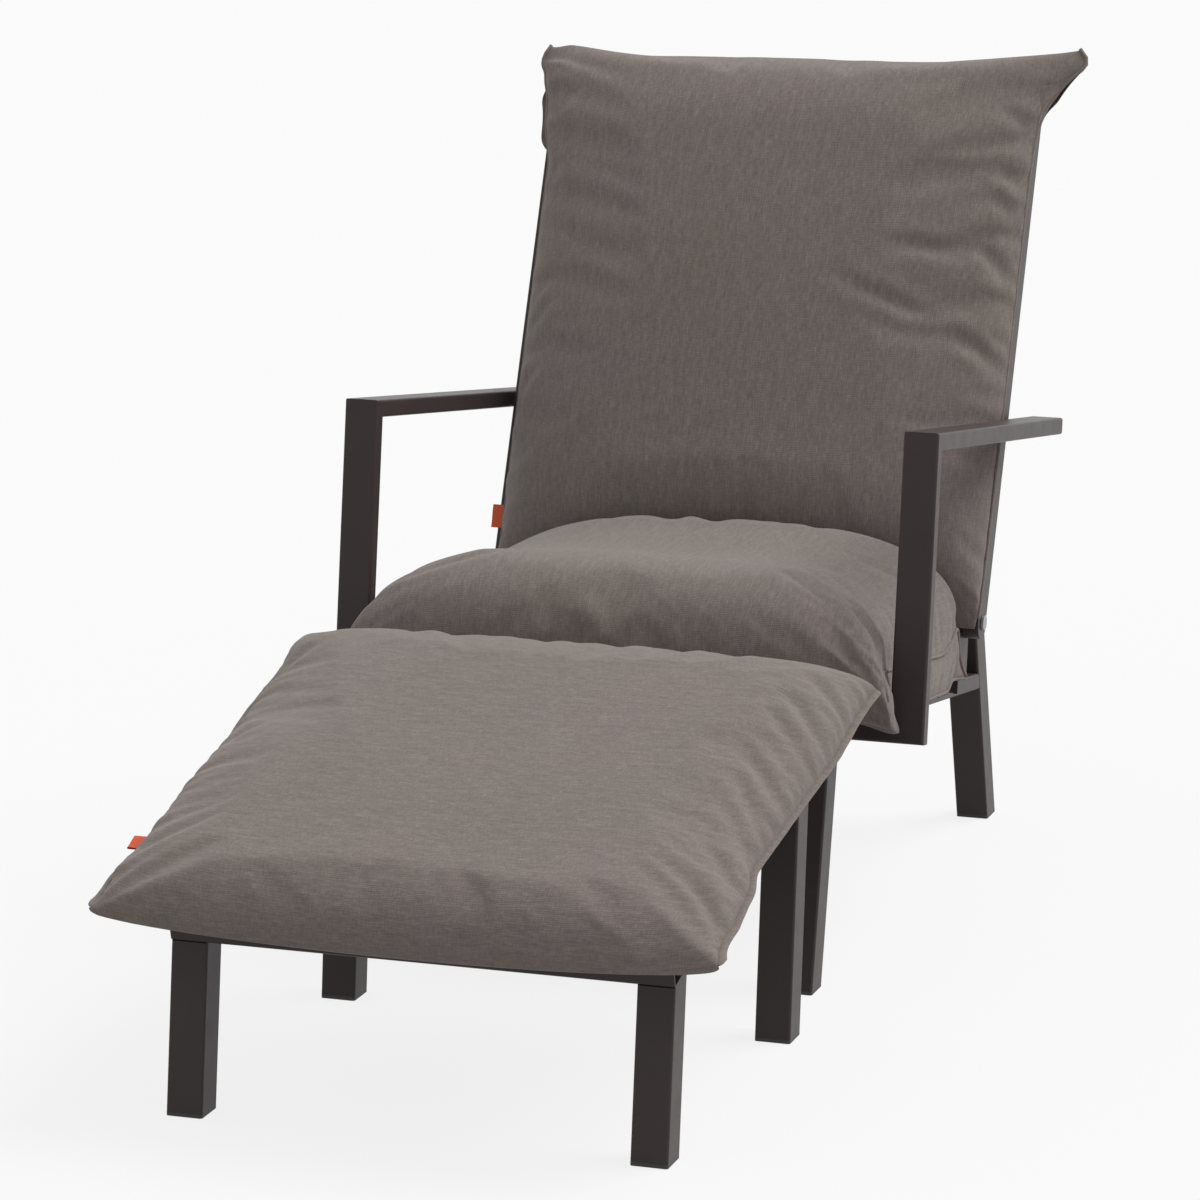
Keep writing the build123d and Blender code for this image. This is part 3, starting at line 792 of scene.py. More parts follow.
def move_points(mesh: bpy.types.Mesh, points: Array) -> None:
    """Give a mesh's points new places, in metres."""
    mesh.vertices.foreach_set("co", points.astype(np.float32).ravel())
    mesh.update()


def ripple(along: Array, seed: int, pitch: float) -> Array:
    """An uneven wave along a line: four sines near one pitch, their phases from the seed.

    Args:
        along: Places along the line.
        seed: Which wave.
        pitch: Mean length of a wave, in the same unit.

    Returns:
        Heights from about -1 to 1.
    """
    sines = ((0.62, 0.5), (0.87, 0.75), (1.17, 0.75), (1.61, 0.45))
    bend_height, bend_pitches, highest = 0.9, 5.3, 1.7
    chance = np.random.default_rng(seed)
    total = np.zeros_like(along)
    for factor, weight in sines:
        phase, drift, swing = chance.uniform(0, math.tau, 3)
        bend = bend_height * np.sin(along * math.tau / (pitch * bend_pitches) + drift)
        total += weight * np.sin(along * math.tau * factor / pitch + phase + bend + swing)
    return total / highest


@dataclass(frozen=True)
class Puff:
    """How the cloth simulation fills a cushion."""

    pressure: float = 4.0
    growth: float = 0.03
    cap: float = 0.024
    broad_share: float = 0.15
    broad_rounds: int = 60
    crease_share: float = 0.6
    bending: float = 0.6
    quality: int = 5
    frames: int = 20


def spread_out(mesh: bpy.types.Mesh, values: Array, rounds: int) -> Array:
    """The broad part of values on a mesh: each round mixes in the mean of a point's neighbours.

    Args:
        mesh: The mesh.
        values: A vector for each point.
        rounds: How many rounds.

    Returns:
        The smoothed vectors.
    """
    ends = np.empty(len(mesh.edges) * 2, np.int32)
    mesh.edges.foreach_get("vertices", ends)
    first, second = ends.reshape(-1, 2).T
    count = len(mesh.vertices)
    near = (np.bincount(first, minlength=count) + np.bincount(second, minlength=count)).astype(float)
    for _ in range(rounds):
        total = np.zeros_like(values)
        for axis in range(3):
            total[:, axis] = (np.bincount(first, values[second, axis], count)
                              + np.bincount(second, values[first, axis], count))
        values = 0.5 * values + 0.5 * total / near[:, None]
    return values


def inflate(obj: bpy.types.Object, pins: Array, puff: Puff) -> None:
    """Fill a cushion by cloth simulation and keep the result in its mesh.

    The cloth starts slightly too large for its shape, is held where it is sewn or rests on the
    frame, and pressure pushes it out. No point moves further than the cap. The folds are kept,
    and of the broad swelling under them only a share, because the sheets are drawn full already.

    Args:
        obj: The cushion.
        pins: How firmly each point is held.
        puff: The simulation's settings.
    """
    start = coordinates(obj.data)
    group = obj.vertex_groups.new(name="sewn")
    for level in np.unique(np.round(pins, 1)):
        if level > 0:
            chosen = np.flatnonzero(np.round(pins, 1) == level)
            group.add(chosen.tolist(), float(level), "REPLACE")
    modifier = obj.modifiers.new("fill", "CLOTH")
    settings = modifier.settings
    settings.quality = puff.quality
    settings.use_pressure = True
    settings.uniform_pressure_force = puff.pressure
    settings.shrink_min = -puff.growth
    settings.vertex_group_mass = group.name
    settings.bending_stiffness = puff.bending
    settings.effector_weights.gravity = 0
    modifier.collision_settings.use_collision = False
    modifier.point_cache.frame_start = 1
    modifier.point_cache.frame_end = puff.frames
    scene = bpy.context.scene
    for number in range(1, puff.frames + 1):
        scene.frame_set(number)
    graph = bpy.context.evaluated_depsgraph_get()
    filled = coordinates(obj.evaluated_get(graph).data)
    obj.modifiers.remove(modifier)
    obj.vertex_groups.remove(group)
    scene.frame_set(1)
    move = filled - start
    reach = np.linalg.norm(move, axis=1, keepdims=True)
    move *= np.minimum(1.0, puff.cap / np.maximum(reach, 1e-9))
    broad = spread_out(obj.data, move, puff.broad_rounds)
    move = (move - broad) * puff.crease_share + broad * puff.broad_share
    move_points(obj.data, start + move)
    log.info("%s filled, furthest point moved %.1f mm", obj.name, float(reach.max()) / MM)


@dataclass(frozen=True)
class Edging:
    """Cross-section of a sewn edge: an ellipse that stands out from the seam, in millimetres."""

    wide: float
    thick: float
    out: float = 0.0
    wave: float = 0.0
    pitch: float = 30.0
    sides: int = 10

    def along(self, name: str, path: Array, outward: Array) -> bpy.types.Object:
        """Carry the ellipse along a seam and close it to a point at both ends.

        Args:
            name: The piece's name.
            path: Points of the seam, in metres.
            outward: Unit vectors that point out of the cushion, one for each point.

        Returns:
            The piping or flange.
        """
        ahead = np.gradient(path, axis=0)
        ahead /= np.linalg.norm(ahead, axis=1, keepdims=True)
        outward = outward - (outward * ahead).sum(axis=1, keepdims=True) * ahead
        outward /= np.linalg.norm(outward, axis=1, keepdims=True)
        up = np.cross(outward, ahead)
        length = np.concatenate([[0.0], np.cumsum(np.linalg.norm(np.diff(path, axis=0), axis=1))])
        turn = np.linspace(0, math.tau, self.sides + 1)
        ends = np.minimum(length, length[-1] - length) / (MM * (self.wide + 1))
        taper = np.sqrt(np.clip(ends, 0, 1))[:, None]
        sway = self.wave * MM * ripple(length / MM, len(path), self.pitch)[:, None]
        reach = (self.out + self.wide / 2 * np.cos(turn)[None, :]) * MM * taper
        height = self.thick / 2 * np.sin(turn)[None, :] * MM * taper + sway * taper
        points = (path[:, None, :] + reach[..., None] * outward[:, None, :]
                  + height[..., None] * up[:, None, :])
        cloth = np.zeros(points.shape)
        cloth[..., 0] = turn * self.wide * MM / 2
        cloth[..., 1] = length[:, None]
        tube = Patch(points, cloth, np.zeros(points.shape[:2]))
        return make_mesh(name, *welded(*joined([tube]))[:3])


# Cushions


class Row(NamedTuple):
    """One place along a cushion, from its first seam to its last, in millimetres.

    It holds y and z of the upper sheet at the side seams, y and z of the upper sheet in the
    middle, the half width, and y and z of the lower sheet.
    """

    seam_y: float
    seam_z: float
    crown_y: float
    crown_z: float
    half: float
    low_y: float
    low_z: float


@dataclass(frozen=True)
class Fold:
    """Shape of the pressed folds: millimetres, and shares of the width or of the length."""

    depth: float
    width: float
    ridge_share: float = 0.5
    ridge_offset: float = 2.1
    ridge_width: float = 1.3
    seam_depth_share: float = 0.35
    deep_from: float = 0.25
    fade_from: float = 0.45
    seam_reach: float = 6.0
    steps: int = 40

    def section(self, gap: Array) -> Array:
        """Height across a fold: a trough with a low ridge beside it.

        Args:
            gap: Distance from the fold's line.

        Returns:
            The height, -1 in the trough.
        """
        ridge = (gap - self.ridge_offset * self.width) / (self.ridge_width * self.width)
        return self.ridge_share * np.exp(-ridge ** 2) - np.exp(-(gap / self.width) ** 2)

    def fade(self, share: Array) -> Array:
        """Depth along a fold: shallow at the seam, then deep, then gone at its end.

        Args:
            share: Place along the fold, from 0 at the seam to 1.

        Returns:
            The share of the depth.
        """
        start = self.seam_depth_share + (1 - self.seam_depth_share) * smooth(0.0, self.deep_from, share)
        return start * (1 - smooth(self.fade_from, 1.0, share))


@dataclass(frozen=True)
class Pucker:
    """Gathers along a seam: depth, reach, pitch and distance of the first rise, and a seed."""

    depth: float
    reach: float
    pitch: float
    seed: int
    start: float = 7.0


@dataclass
class Cushion:
    """A closed cushion between two sheets that meet at its seams.

    A natural spline through the profile's rows makes the upper sheet, and the crown, a
    superellipse across the width, mixes side and middle. The lower sheet runs straight from row
    to row. The level is the height of the profile's z = 0 over the plane.
    """

    name: str
    plane: WorkPlane
    profile: Sequence[Row]
    level: float
    replaced: tuple[str, ...]
    pucker: Pucker
    columns: int = 89
    rows: int = 129
    crown_power: float = 4.0
    crown_height: float = 100.0
    border_rows: int = 3
    shift: float = 0.0
    fold_floor: float = 15.0
    fill: float = 0.7
    puff: Puff = Puff()
    top: Array = field(init=False, repr=False)
    bottom: Array = field(init=False, repr=False)

    def shares(self) -> Array:
        """Shares of the half width, evenly spaced along the crown's curve.

        Returns:
            The shares, from -1 to 1.
        """
        dense = np.linspace(-1, 1, 4001)
        wide = self.profile[len(self.profile) // 2].half
        arch = np.stack([dense * wide, self.crown_height * self.crown(dense)], axis=1)
        return np.interp(even_steps(arch, self.columns), np.linspace(0, 1, len(dense)), dense)

    def crown(self, share: Array) -> Array:
        """Superellipse: the p-th root of one less the share to the power p."""
        return (1 - np.minimum(np.abs(share), 1) ** self.crown_power) ** (1 / self.crown_power)

    def sheets(self, across: Array) -> tuple[Array, Array]:
        """The upper and lower sheets.

        Args:
            across: Shares of the half width, one for each column.

        Returns:
            Both sheets, as columns of points along the cushion.
        """
        table = np.array(self.profile, float)
        chords = np.linalg.norm(np.diff(table[:, 2:4], axis=0), axis=1)
        chords += np.linalg.norm(np.diff(table[:, 0:2], axis=0), axis=1)
        knots = np.concatenate([[0.0], np.cumsum(chords)])
        knots /= knots[-1]
        middle = spline_weights(knots, np.linspace(0, 1, 2001)) @ table[:, 2:4]
        along = even_steps(middle, self.rows)
        path = spline_weights(knots, along) @ table[:, :5]
        full = self.crown(across)[:, None]
        top = np.empty((len(across), self.rows, 3))
        top[..., 0] = across[:, None] * path[:, 4]
        top[..., 1] = path[:, 0] + (path[:, 2] - path[:, 0]) * full
        top[..., 2] = path[:, 1] + (path[:, 3] - path[:, 1]) * full + self.level
        snapped = along.copy()
        snapped[np.abs(along[:, None] - knots[None, :]).argmin(axis=0)] = knots
        bottom = top.copy()
        bottom[..., 1] = np.interp(snapped, knots, table[:, 5])
        bottom[..., 2] = np.interp(snapped, knots, table[:, 6]) + self.level
        return top, bottom

    def finish_sheets(self) -> None:
        """Last changes of the two sheets before they are joined."""

    def ease(self, power: float, weight: Array) -> None:
        """Round the shoulders: mix the crown's height with that of another power.

        Args:
            power: The other superellipse's power.
            weight: Its share at each point, 0 to 1.
        """
        share = np.minimum(np.abs(self.top[..., 0]) / np.abs(self.top[-1, :, 0]), 1)
        other = (1 - share ** power) ** (1 / power)
        ratio = other / np.maximum(self.crown(share), 1e-6)
        edge = self.top[:1, :, 2]
        self.top[..., 2] = edge + (self.top[..., 2] - edge) * (1 + weight * (ratio - 1))

    def seam_edge(self) -> Array:
        """The nearer side seam's point for each point of the sheets."""
        return np.where(self.top[..., 0:1] < 0, self.top[:1], self.top[-1:])

    def folds(self, curves: Sequence[tuple[Sequence[float], ...]], fold: Fold) -> None:
        """Press soft folds into the upper sheet.

        Args:
            curves: Three points x, y each, from the seam inwards; a parabola runs through them.
            fold: Their shape.
        """
        normal = normals_of(self.top)
        place = self.top[..., :2] + np.array([self.shift, 0.0])
        front = self.top[..., 2] - self.level > self.fold_floor
        inside = np.abs(self.top[-1, :, 0]) - np.abs(self.top[..., 0])
        front = front * (1 - np.exp(-np.maximum(inside, 0) / fold.seam_reach))
        along = np.linspace(0, 1, fold.steps + 1)[:, None]
        for start, middle, end in curves:
            bend = 2 * np.array(middle) - (np.array(start) + np.array(end)) / 2
            line = ((1 - along) ** 2 * np.array(start) + 2 * along * (1 - along) * bend
                    + along ** 2 * np.array(end))
            apart = np.linalg.norm(place[:, :, None, :] - line, axis=-1)
            nearest = apart.argmin(axis=-1)
            gap = np.take_along_axis(apart, nearest[..., None], axis=-1)[..., 0]
            height = fold.depth * fold.fade(nearest / fold.steps) * fold.section(gap) * front
            self.top += normal * height[..., None]

    def gather(self) -> None:
        """Gather the upper sheet along its side seams: folds square to the seam that die out."""
        length = self.cloth_of(self.top) / MM
        normal = normals_of(self.top)
        for number, side in enumerate(Side, self.pucker.seed):
            distance = np.abs(length[..., 0] - length[side.value, :, 0])
            wave = ripple(length[side.value, :, 1], number, self.pucker.pitch)[None, :]
            near = np.exp(-distance / self.pucker.reach) * (1 - np.exp(-distance / self.pucker.start))
            self.top += normal * (self.pucker.depth * wave * near)[..., None]

    def cloth_of(self, sheet: Array) -> Array:
        """Cloth coordinates of a sheet: arc lengths across it, from its middle, and along it.

        Args:
            sheet: Columns of points.

        Returns:
            The coordinates, in metres.
        """
        across = np.linalg.norm(np.diff(sheet, axis=0), axis=-1)
        along = np.linalg.norm(np.diff(sheet, axis=1), axis=-1)
        coords = np.zeros(sheet.shape)
        coords[1:, :, 0] = np.cumsum(across, axis=0)
        coords[..., 0] -= coords[len(sheet) // 2, :, 0]
        coords[:, 1:, 1] = np.cumsum(along, axis=1)
        return coords * MM

    def shape_border(self, strip: Array, side: Side) -> Array:
        """Change the border at one side; plain cushions leave it straight."""
        return strip

    def border(self, side: Side, cloth: Array) -> Patch:
        """The strip between the two sheets at one side.

        Args:
            side: The side.
            cloth: Cloth coordinates of the upper sheet.

        Returns:
            The strip, held at its two seams.
        """
        steps = np.linspace(0, 1, self.border_rows + 2)[:, None, None]
        upper, lower = self.top[side.value], self.bottom[side.value]
        strip = self.shape_border(upper * (1 - steps) + lower * steps, side)
        held = np.zeros(strip.shape[:2])
        held[[0, -1], :] = 1
        wide = np.linalg.norm(upper - lower, axis=-1) * MM
        coords = np.repeat(cloth[side.value][None], len(steps), axis=0)
        coords[..., 0] += (steps[..., 0] * wide) * side.outward
        return Patch(strip, coords, held, side is Side.LEFT)

    def build(self) -> bpy.types.Object:
        """Make the closed mesh, fill it and hide the CAD nodes that it replaces.

        Returns:
            The cover.
        """
        self.top, self.bottom = self.sheets(self.shares())
        self.finish_sheets()
        self.bottom[:, [0, -1]] = self.top[:, [0, -1]]
        cloth = self.cloth_of(self.top)
        held = np.zeros(self.top.shape[:2])
        held[[0, -1], :] = 1
        held[:, [0, -1]] = 1
        patches = [Patch(self.top, cloth, held), Patch(self.bottom, cloth, np.ones(held.shape), True)]
        patches += [self.border(side, cloth) for side in Side]
        points, quads, cloths, pins = joined(patches)
        world = self.plane.world(points + np.array([self.shift, 0.0, 0.0]))
        points, quads, cloths, pins = welded(world, quads, cloths, pins)
        obj = make_mesh(self.name, points, quads, cloths)
        inflate(obj, pins, self.puff)
        self.settle(obj)
        rounding = obj.modifiers.new("round", "SUBSURF")
        rounding.levels = 1
        rounding.render_levels = 1
        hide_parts(*self.replaced)
        return obj

    def settle(self, obj: bpy.types.Object) -> None:
        """Press the filled cushion back out of its neighbours."""

    def trim(self) -> list[bpy.types.Object]:
        """The sewn edges; a plain cushion has none."""
        return []

    def edging(self, name: str, side: Side, shape: Edging, rows: Rows, lower: bool = False
               ) -> bpy.types.Object:
        """A sewn edge along one side's seam.

        Args:
            name: The piece's name without its side.
            side: The side.
            shape: Its cross-section.
            rows: The row that it starts at, and the one that it stops before.
            lower: Whether it follows the lower seam.

        Returns:
            The piping or flange.
        """
        sheet = self.bottom if lower else self.top
        path = sheet[side.value, slice(*rows)] + np.array([self.shift, 0.0, 0.0])
        outward = np.zeros(path.shape)
        outward[:, 0] = side.outward
        return shape.along(name + side.word, self.plane.world(path), outward)


@dataclass
class SeatCushion(Cushion):
    """Seat cushion, with a boxed border at its sides and a roll over the front rail."""

    name: str = "seat_cushion_cover"
    plane: WorkPlane = DECK
    profile: Sequence[Row] = (
        Row(-24, -18, -24, -18, 322, -24, -18), Row(-42, -8, -54, -4, 324, -14, -18),
        Row(-54, 12, -72, 34, 322, -0.8, -18), Row(-48, 32, -64, 88, 314, -0.8, 0.4),
        Row(-20, 39, -28, 127, 304, 20, 0.4), Row(25, 38, 28, 143, 298, 50, 0.4),
        Row(85, 37, 88, 144, 296, 95, 0.4), Row(165, 37, 165, 155, 296, 165, 0.4),
        Row(245, 36, 240, 172, 294, 245, 0.4), Row(328, 42, 292, 178, 291, 320, 0.4),
        Row(388, 60, 328, 158, 290, 370, 0.4), Row(410, 34, 366, 104, 291, 400, 0.4),
        Row(436, 0.4, 436, 0.4, 298, 436, 0.4))
    level: float = DECK_TOP
    replaced: tuple[str, ...] = ("seat_cushion",)
    pucker: Pucker = Pucker(2.4, 34.0, 40.0, 11)
    crown_power: float = 3.4
    crown_height: float = 120.0
    left_shoulder_power: float = 2.1
    left_shoulder_share: float = 0.9
    left_shoulder_start: Span = (20.0, 200.0)
    sag: float = 12.0
    sag_outside: Span = (284.0, 290.0)
    sag_along: Stretch = Stretch((10.0, 60.0), (330.0, 372.0))
    rear_half: float = 298.0
    rear_round: float = 38.0
    rear_round_along: Span = (330.0, 440.0)
    rear_round_shares: Span = (0.78, 0.925)
    lip_half: float = 322.0
    lip_drop: float = 9.0
    lip_shares: Span = (0.86, 1.0)
    lip_heights: Span = (-10.0, 46.0)
    lip_end: float = -4.0
    pleat_pitch: float = 17.0
    pleat_seed: int = 17
    pleat_bulge: float = 2.2
    pleat_depth: float = 1.5
    pleat_full_height: float = 20.0
    post_rear: float = -2.0
    armrest_half: float = 308.0
    deck_front: float = -0.5
    deck_half: float = 283.0
    upper_piping: Edging = Edging(4.6, 4.2, 0.8)
    upper_rows: Rows = (14, None)
    lower_piping: Edging = Edging(3.6, 3.6, 0.4)
    lower_rows: Rows = (26, None)

    def finish_sheets(self) -> None:
        """Round the left shoulder and the rear corners, let the border sag and gather the sides."""
        left = self.top[..., 0] < 0
        start = smooth(*self.left_shoulder_start, self.top[..., 1])
        self.ease(self.left_shoulder_power, self.left_shoulder_share * left * start)
        outside = smooth(*self.sag_outside, np.abs(self.bottom[..., 0]))
        self.bottom[..., 2] -= self.sag * outside * self.sag_along.weigh(self.bottom[..., 1])
        for sheet in (self.top, self.bottom):
            share = np.abs(sheet[..., 0]) / self.rear_half
            rear = smooth(*self.rear_round_along, sheet[..., 1])
            sheet[..., 1] -= self.rear_round * smooth(*self.rear_round_shares, share) * rear
        for sheet in (self.top, self.bottom):
            share = np.abs(sheet[..., 0]) / self.lip_half
            low = 1 - smooth(*self.lip_heights, sheet[..., 2] - self.level)
            front = sheet[..., 1] < self.lip_end
            sheet[..., 2] -= self.lip_drop * smooth(*self.lip_shares, share) * low * front
        self.gather()

    def shape_border(self, strip: Array, side: Side) -> Array:
        """Pleat the border: narrow upright folds over a slight bulge.

        Args:
            strip: The straight border, from the upper seam to the lower one.
            side: The side.

        Returns:
            The pleated border.
        """
        share = np.linspace(0, 1, len(strip))[:, None]
        tall = np.linalg.norm(strip[0] - strip[-1], axis=-1)[None, :]
        pleat = ripple(strip[..., 1], self.pleat_seed + side.value, self.pleat_pitch)
        bulge = np.sin(math.pi * share) * (self.pleat_bulge + self.pleat_depth * pleat)
        strip[..., 0] += bulge * np.clip(tall / self.pleat_full_height, 0, 1) * side.outward
        return strip

    def settle(self, obj: bpy.types.Object) -> None:
        """Keep it in front of the crease, above the deck and between the armrests.

        Args:
            obj: The cover.
        """
        points = coordinates(obj.data)
        point, normal = crease_plane()
        over = (points - point) @ normal
        points -= np.outer(np.maximum(over + SOFT_GAP * MM, 0), normal)
        local = self.plane.local(points)
        behind = local[:, 1] > self.post_rear
        local[behind, 0] = np.clip(local[behind, 0], -self.armrest_half, self.armrest_half)
        above = (local[:, 1] > self.deck_front) & (np.abs(local[:, 0]) < self.deck_half)
        local[above, 2] = np.maximum(local[above, 2], DECK_TOP + SOFT_GAP)
        move_points(obj.data, self.plane.world(local))

    def trim(self) -> list[bpy.types.Object]:
        """Piping along the upper and lower edges of the border.

        Returns:
            The pipings.
        """
        made = []
        for side in Side:
            made.append(self.edging("seat_upper_piping_", side, self.upper_piping, self.upper_rows))
            made.append(self.edging("seat_lower_piping_", side, self.lower_piping, self.lower_rows, True))
        return made


@dataclass
class BackCushion(Cushion):
    """Back cushion, its cover drawn over the top of the back as a pocket with pinched corners."""

    name: str = "back_cushion_cover"
    plane: WorkPlane = BACKREST
    profile: Sequence[Row] = (
        Row(-13, 20.5, -13, 20.5, 298, -13, 20.5), Row(0, 23, 18, 58, 300, 4, 20.5),
        Row(16, 25, 60, 106, 302, 20, 20.5), Row(60, 26, 104, 134, 303, 64, 20.5),
        Row(150, 26, 170, 138, 303.5, 153, 20.5), Row(300, 26, 300, 128, 303.5, 300, 20.5),
        Row(450, 26, 450, 110, 303.5, 450, 20.5), Row(560, 24, 560, 88, 304, 560, 20.5),
        Row(600, 18, 602, 76, 306, 604, 20.5), Row(634, 10, 636, 58, 314, 640, 20.5),
        Row(666, 4, 668, 32, 338, 655.8, 20.5), Row(692, 1, 684, 8, 350, 655.8, 8),
        Row(702, 0, 687, 0, 341, 655.8, 0), Row(692, -1, 684, -10, 350, 655.8, -8),
        Row(664, -4, 664, -25, 338, 655.8, -20.8), Row(630, -12, 630, -28, 313, 640, -20.8),
        Row(585, -19, 585, -28, 307, 590, -20.8), Row(523, -24, 523, -25, 307, 523, -24))
    level: float = 0.0
    replaced: tuple[str, ...] = ("back_cushion", "back_cushion_ears", "back_hood")
    pucker: Pucker = Pucker(1.8, 34.0, 46.0, 31)
    crown_power: float = 2.1
    crown_height: float = 90.0
    shift: float = 5.5
    tube_half: float = 308.0
    ear_along: Span = (600.0, 690.0)
    ear_half: float = 300.0
    left_ear_drop: float = 9.0
    left_ear_outside: Span = (0.0, 45.0)
    left_ear_draw_share: float = 0.32
    top_rises: Sequence[tuple[float, Span]] = ((3.5, (-250.0, 50.0)), (6.0, (100.0, 290.0)))
    top_rise_along: Span = (640.0, 680.0)
    rear_heights: Span = (-10.0, -2.0)
    outer_shares: Span = (0.75, 1.0)
    pocket_along: Stretch = Stretch((538.0, 575.0), (620.0, 662.0))
    pocket_swell: float = 29.0
    cheek_along: Stretch = Stretch((530.0, 590.0), (638.0, 678.0))
    cheek_heights: Span = (-2.0, 4.0)
    cheek_swell: float = 12.0
    right_pocket_draw: float = 7.0
    right_pocket_end: Span = (615.0, 655.0)
    corner_shares: Stretch = Stretch((0.88, 0.96), (1.01, 1.07))
    corner_heights: Span = (2.0, 8.0)
    corner_along: Stretch = Stretch((622.0, 642.0), (660.0, 682.0))
    left_corner_rise: float = 4.8
    right_corner_rise: float = 2.0
    right_fold: Fold = Fold(4.0, 8.0)
    left_fold: Fold = Fold(3.0, 7.0)
    right_folds: Sequence[tuple] = (
        ((312, 587), (285, 613), (252, 627)), ((316, 501), (296, 531), (265, 551)),
        ((314, 456), (290, 499), (256, 512)), ((312, 378), (284, 431), (240, 441)),
        ((249, 430), (200, 433), (149, 443)), ((305, 292), (273, 321), (224, 332)),
        ((228, 346), (158, 367), (74, 400)))
    left_folds: Sequence[tuple] = (
        ((-290, 335), (-275, 367), (-253, 399)), ((-290, 305), (-266, 340), (-239, 366)),
        ((-292, 495), (-279, 522), (-262, 538)), ((-290, 225), (-272, 258), (-246, 282)),
        ((-292, 590), (-280, 612), (-262, 624)))
    armrest_half: float = 308.5
    armrest_top: float = 8.0
    piping: Edging = Edging(4.4, 4.2, 0.4)
    piping_rows: Rows = (6, -22)

    def shape_ears(self, left: Array) -> None:
        """Draw the left ear down and in, and let the top seam rise to the right.

        Args:
            left: Which points are on the left.
        """
        ear = smooth(*self.ear_along, self.top[..., 1])
        outside = np.maximum(np.abs(self.top[..., 0]) - self.ear_half, 0)
        drop = np.where(left, self.left_ear_drop, 0.0)
        self.top[..., 1] -= drop * ear * smooth(*self.left_ear_outside, outside)
        self.top[..., 0] += np.where(left, self.left_ear_draw_share, 0.0) * ear * outside
        across = self.top[..., 0] + self.shift
        rise = sum(height * smooth(*span, across) for height, span in self.top_rises)
        self.top[..., 1] += rise * smooth(*self.top_rise_along, self.top[..., 1])

    def shape_pocket(self, left: Array) -> None:
        """Swell the pocket and the cheek at the left, and draw the pocket in at the right.

        Args:
            left: Which points are on the left.
        """
        across = self.top[..., 0] + self.shift
        height, along = self.top[..., 2] - self.level, self.top[..., 1]
        behind = 1 - smooth(*self.rear_heights, height)
        outer = smooth(*self.outer_shares, np.abs(across) / self.tube_half)
        pocket = self.pocket_swell * behind * self.pocket_along.weigh(along)
        cheek = self.cheek_swell * self.cheek_along.weigh(along) * smooth(*self.cheek_heights, height)
        self.top[..., 0] -= left * outer * (pocket + cheek)
        until = 1 - smooth(*self.right_pocket_end, along)
        self.top[..., 0] -= ~left * outer * self.right_pocket_draw * behind * until

    def cover_corners(self, left: Array) -> None:
        """Lift the cover off the top corners of the back tubes.

        Args:
            left: Which points are on the left.
        """
        height, along = self.top[..., 2] - self.level, self.top[..., 1]
        reach = np.abs(self.top[..., 0] + self.shift) / self.tube_half
        corner = self.corner_shares.weigh(reach) * smooth(*self.corner_heights, height)
        rise = np.where(left, self.left_corner_rise, self.right_corner_rise)
        self.top[..., 2] += rise * corner * self.corner_along.weigh(along)

    def close_sides(self) -> None:
        """Bring the lower sheet onto the seam where it passes the back tubes."""
        self.bottom[..., 0] = self.top[..., 0]
        wide = np.abs(self.top[[0, -1], :, 0]).max(axis=0)
        x = np.abs(self.bottom[..., 0])
        share = smooth(0.0, 1.0, (x - self.tube_half) / np.maximum(wide - self.tube_half, 1.0))
        goal = self.seam_edge()
        goal[..., 0] = self.bottom[..., 0]
        self.bottom += (goal - self.bottom) * (share * (wide > self.tube_half + 1))[..., None]

    def finish_sheets(self) -> None:
        """Shape ears and pocket, close the sides, then fold and gather the upper sheet."""
        left = self.top[..., 0] < 0
        self.shape_ears(left)
        self.shape_pocket(left)
        self.cover_corners(left)
        self.close_sides()
        self.folds(self.right_folds, self.right_fold)
        self.folds(self.left_folds, self.left_fold)
        self.gather()

    def settle(self, obj: bpy.types.Object) -> None:
        """Keep it behind the crease and between the armrests.

        Args:
            obj: The cover.
        """
        points = coordinates(obj.data)
        point, normal = crease_plane()
        under = (points - point) @ normal
        points -= np.outer(np.minimum(under - SOFT_GAP * MM, 0), normal)
        low = DECK.local(points)[:, 2] < self.armrest_top
        half = self.armrest_half * MM
        points[low, 0] = np.clip(points[low, 0], -half, half)
        move_points(obj.data, points)

    def trim(self) -> list[bpy.types.Object]:
        """Piping along the side seams.

        Returns:
            The pipings.
        """
        return [self.edging("back_side_piping_", side, self.piping, self.piping_rows) for side in Side]


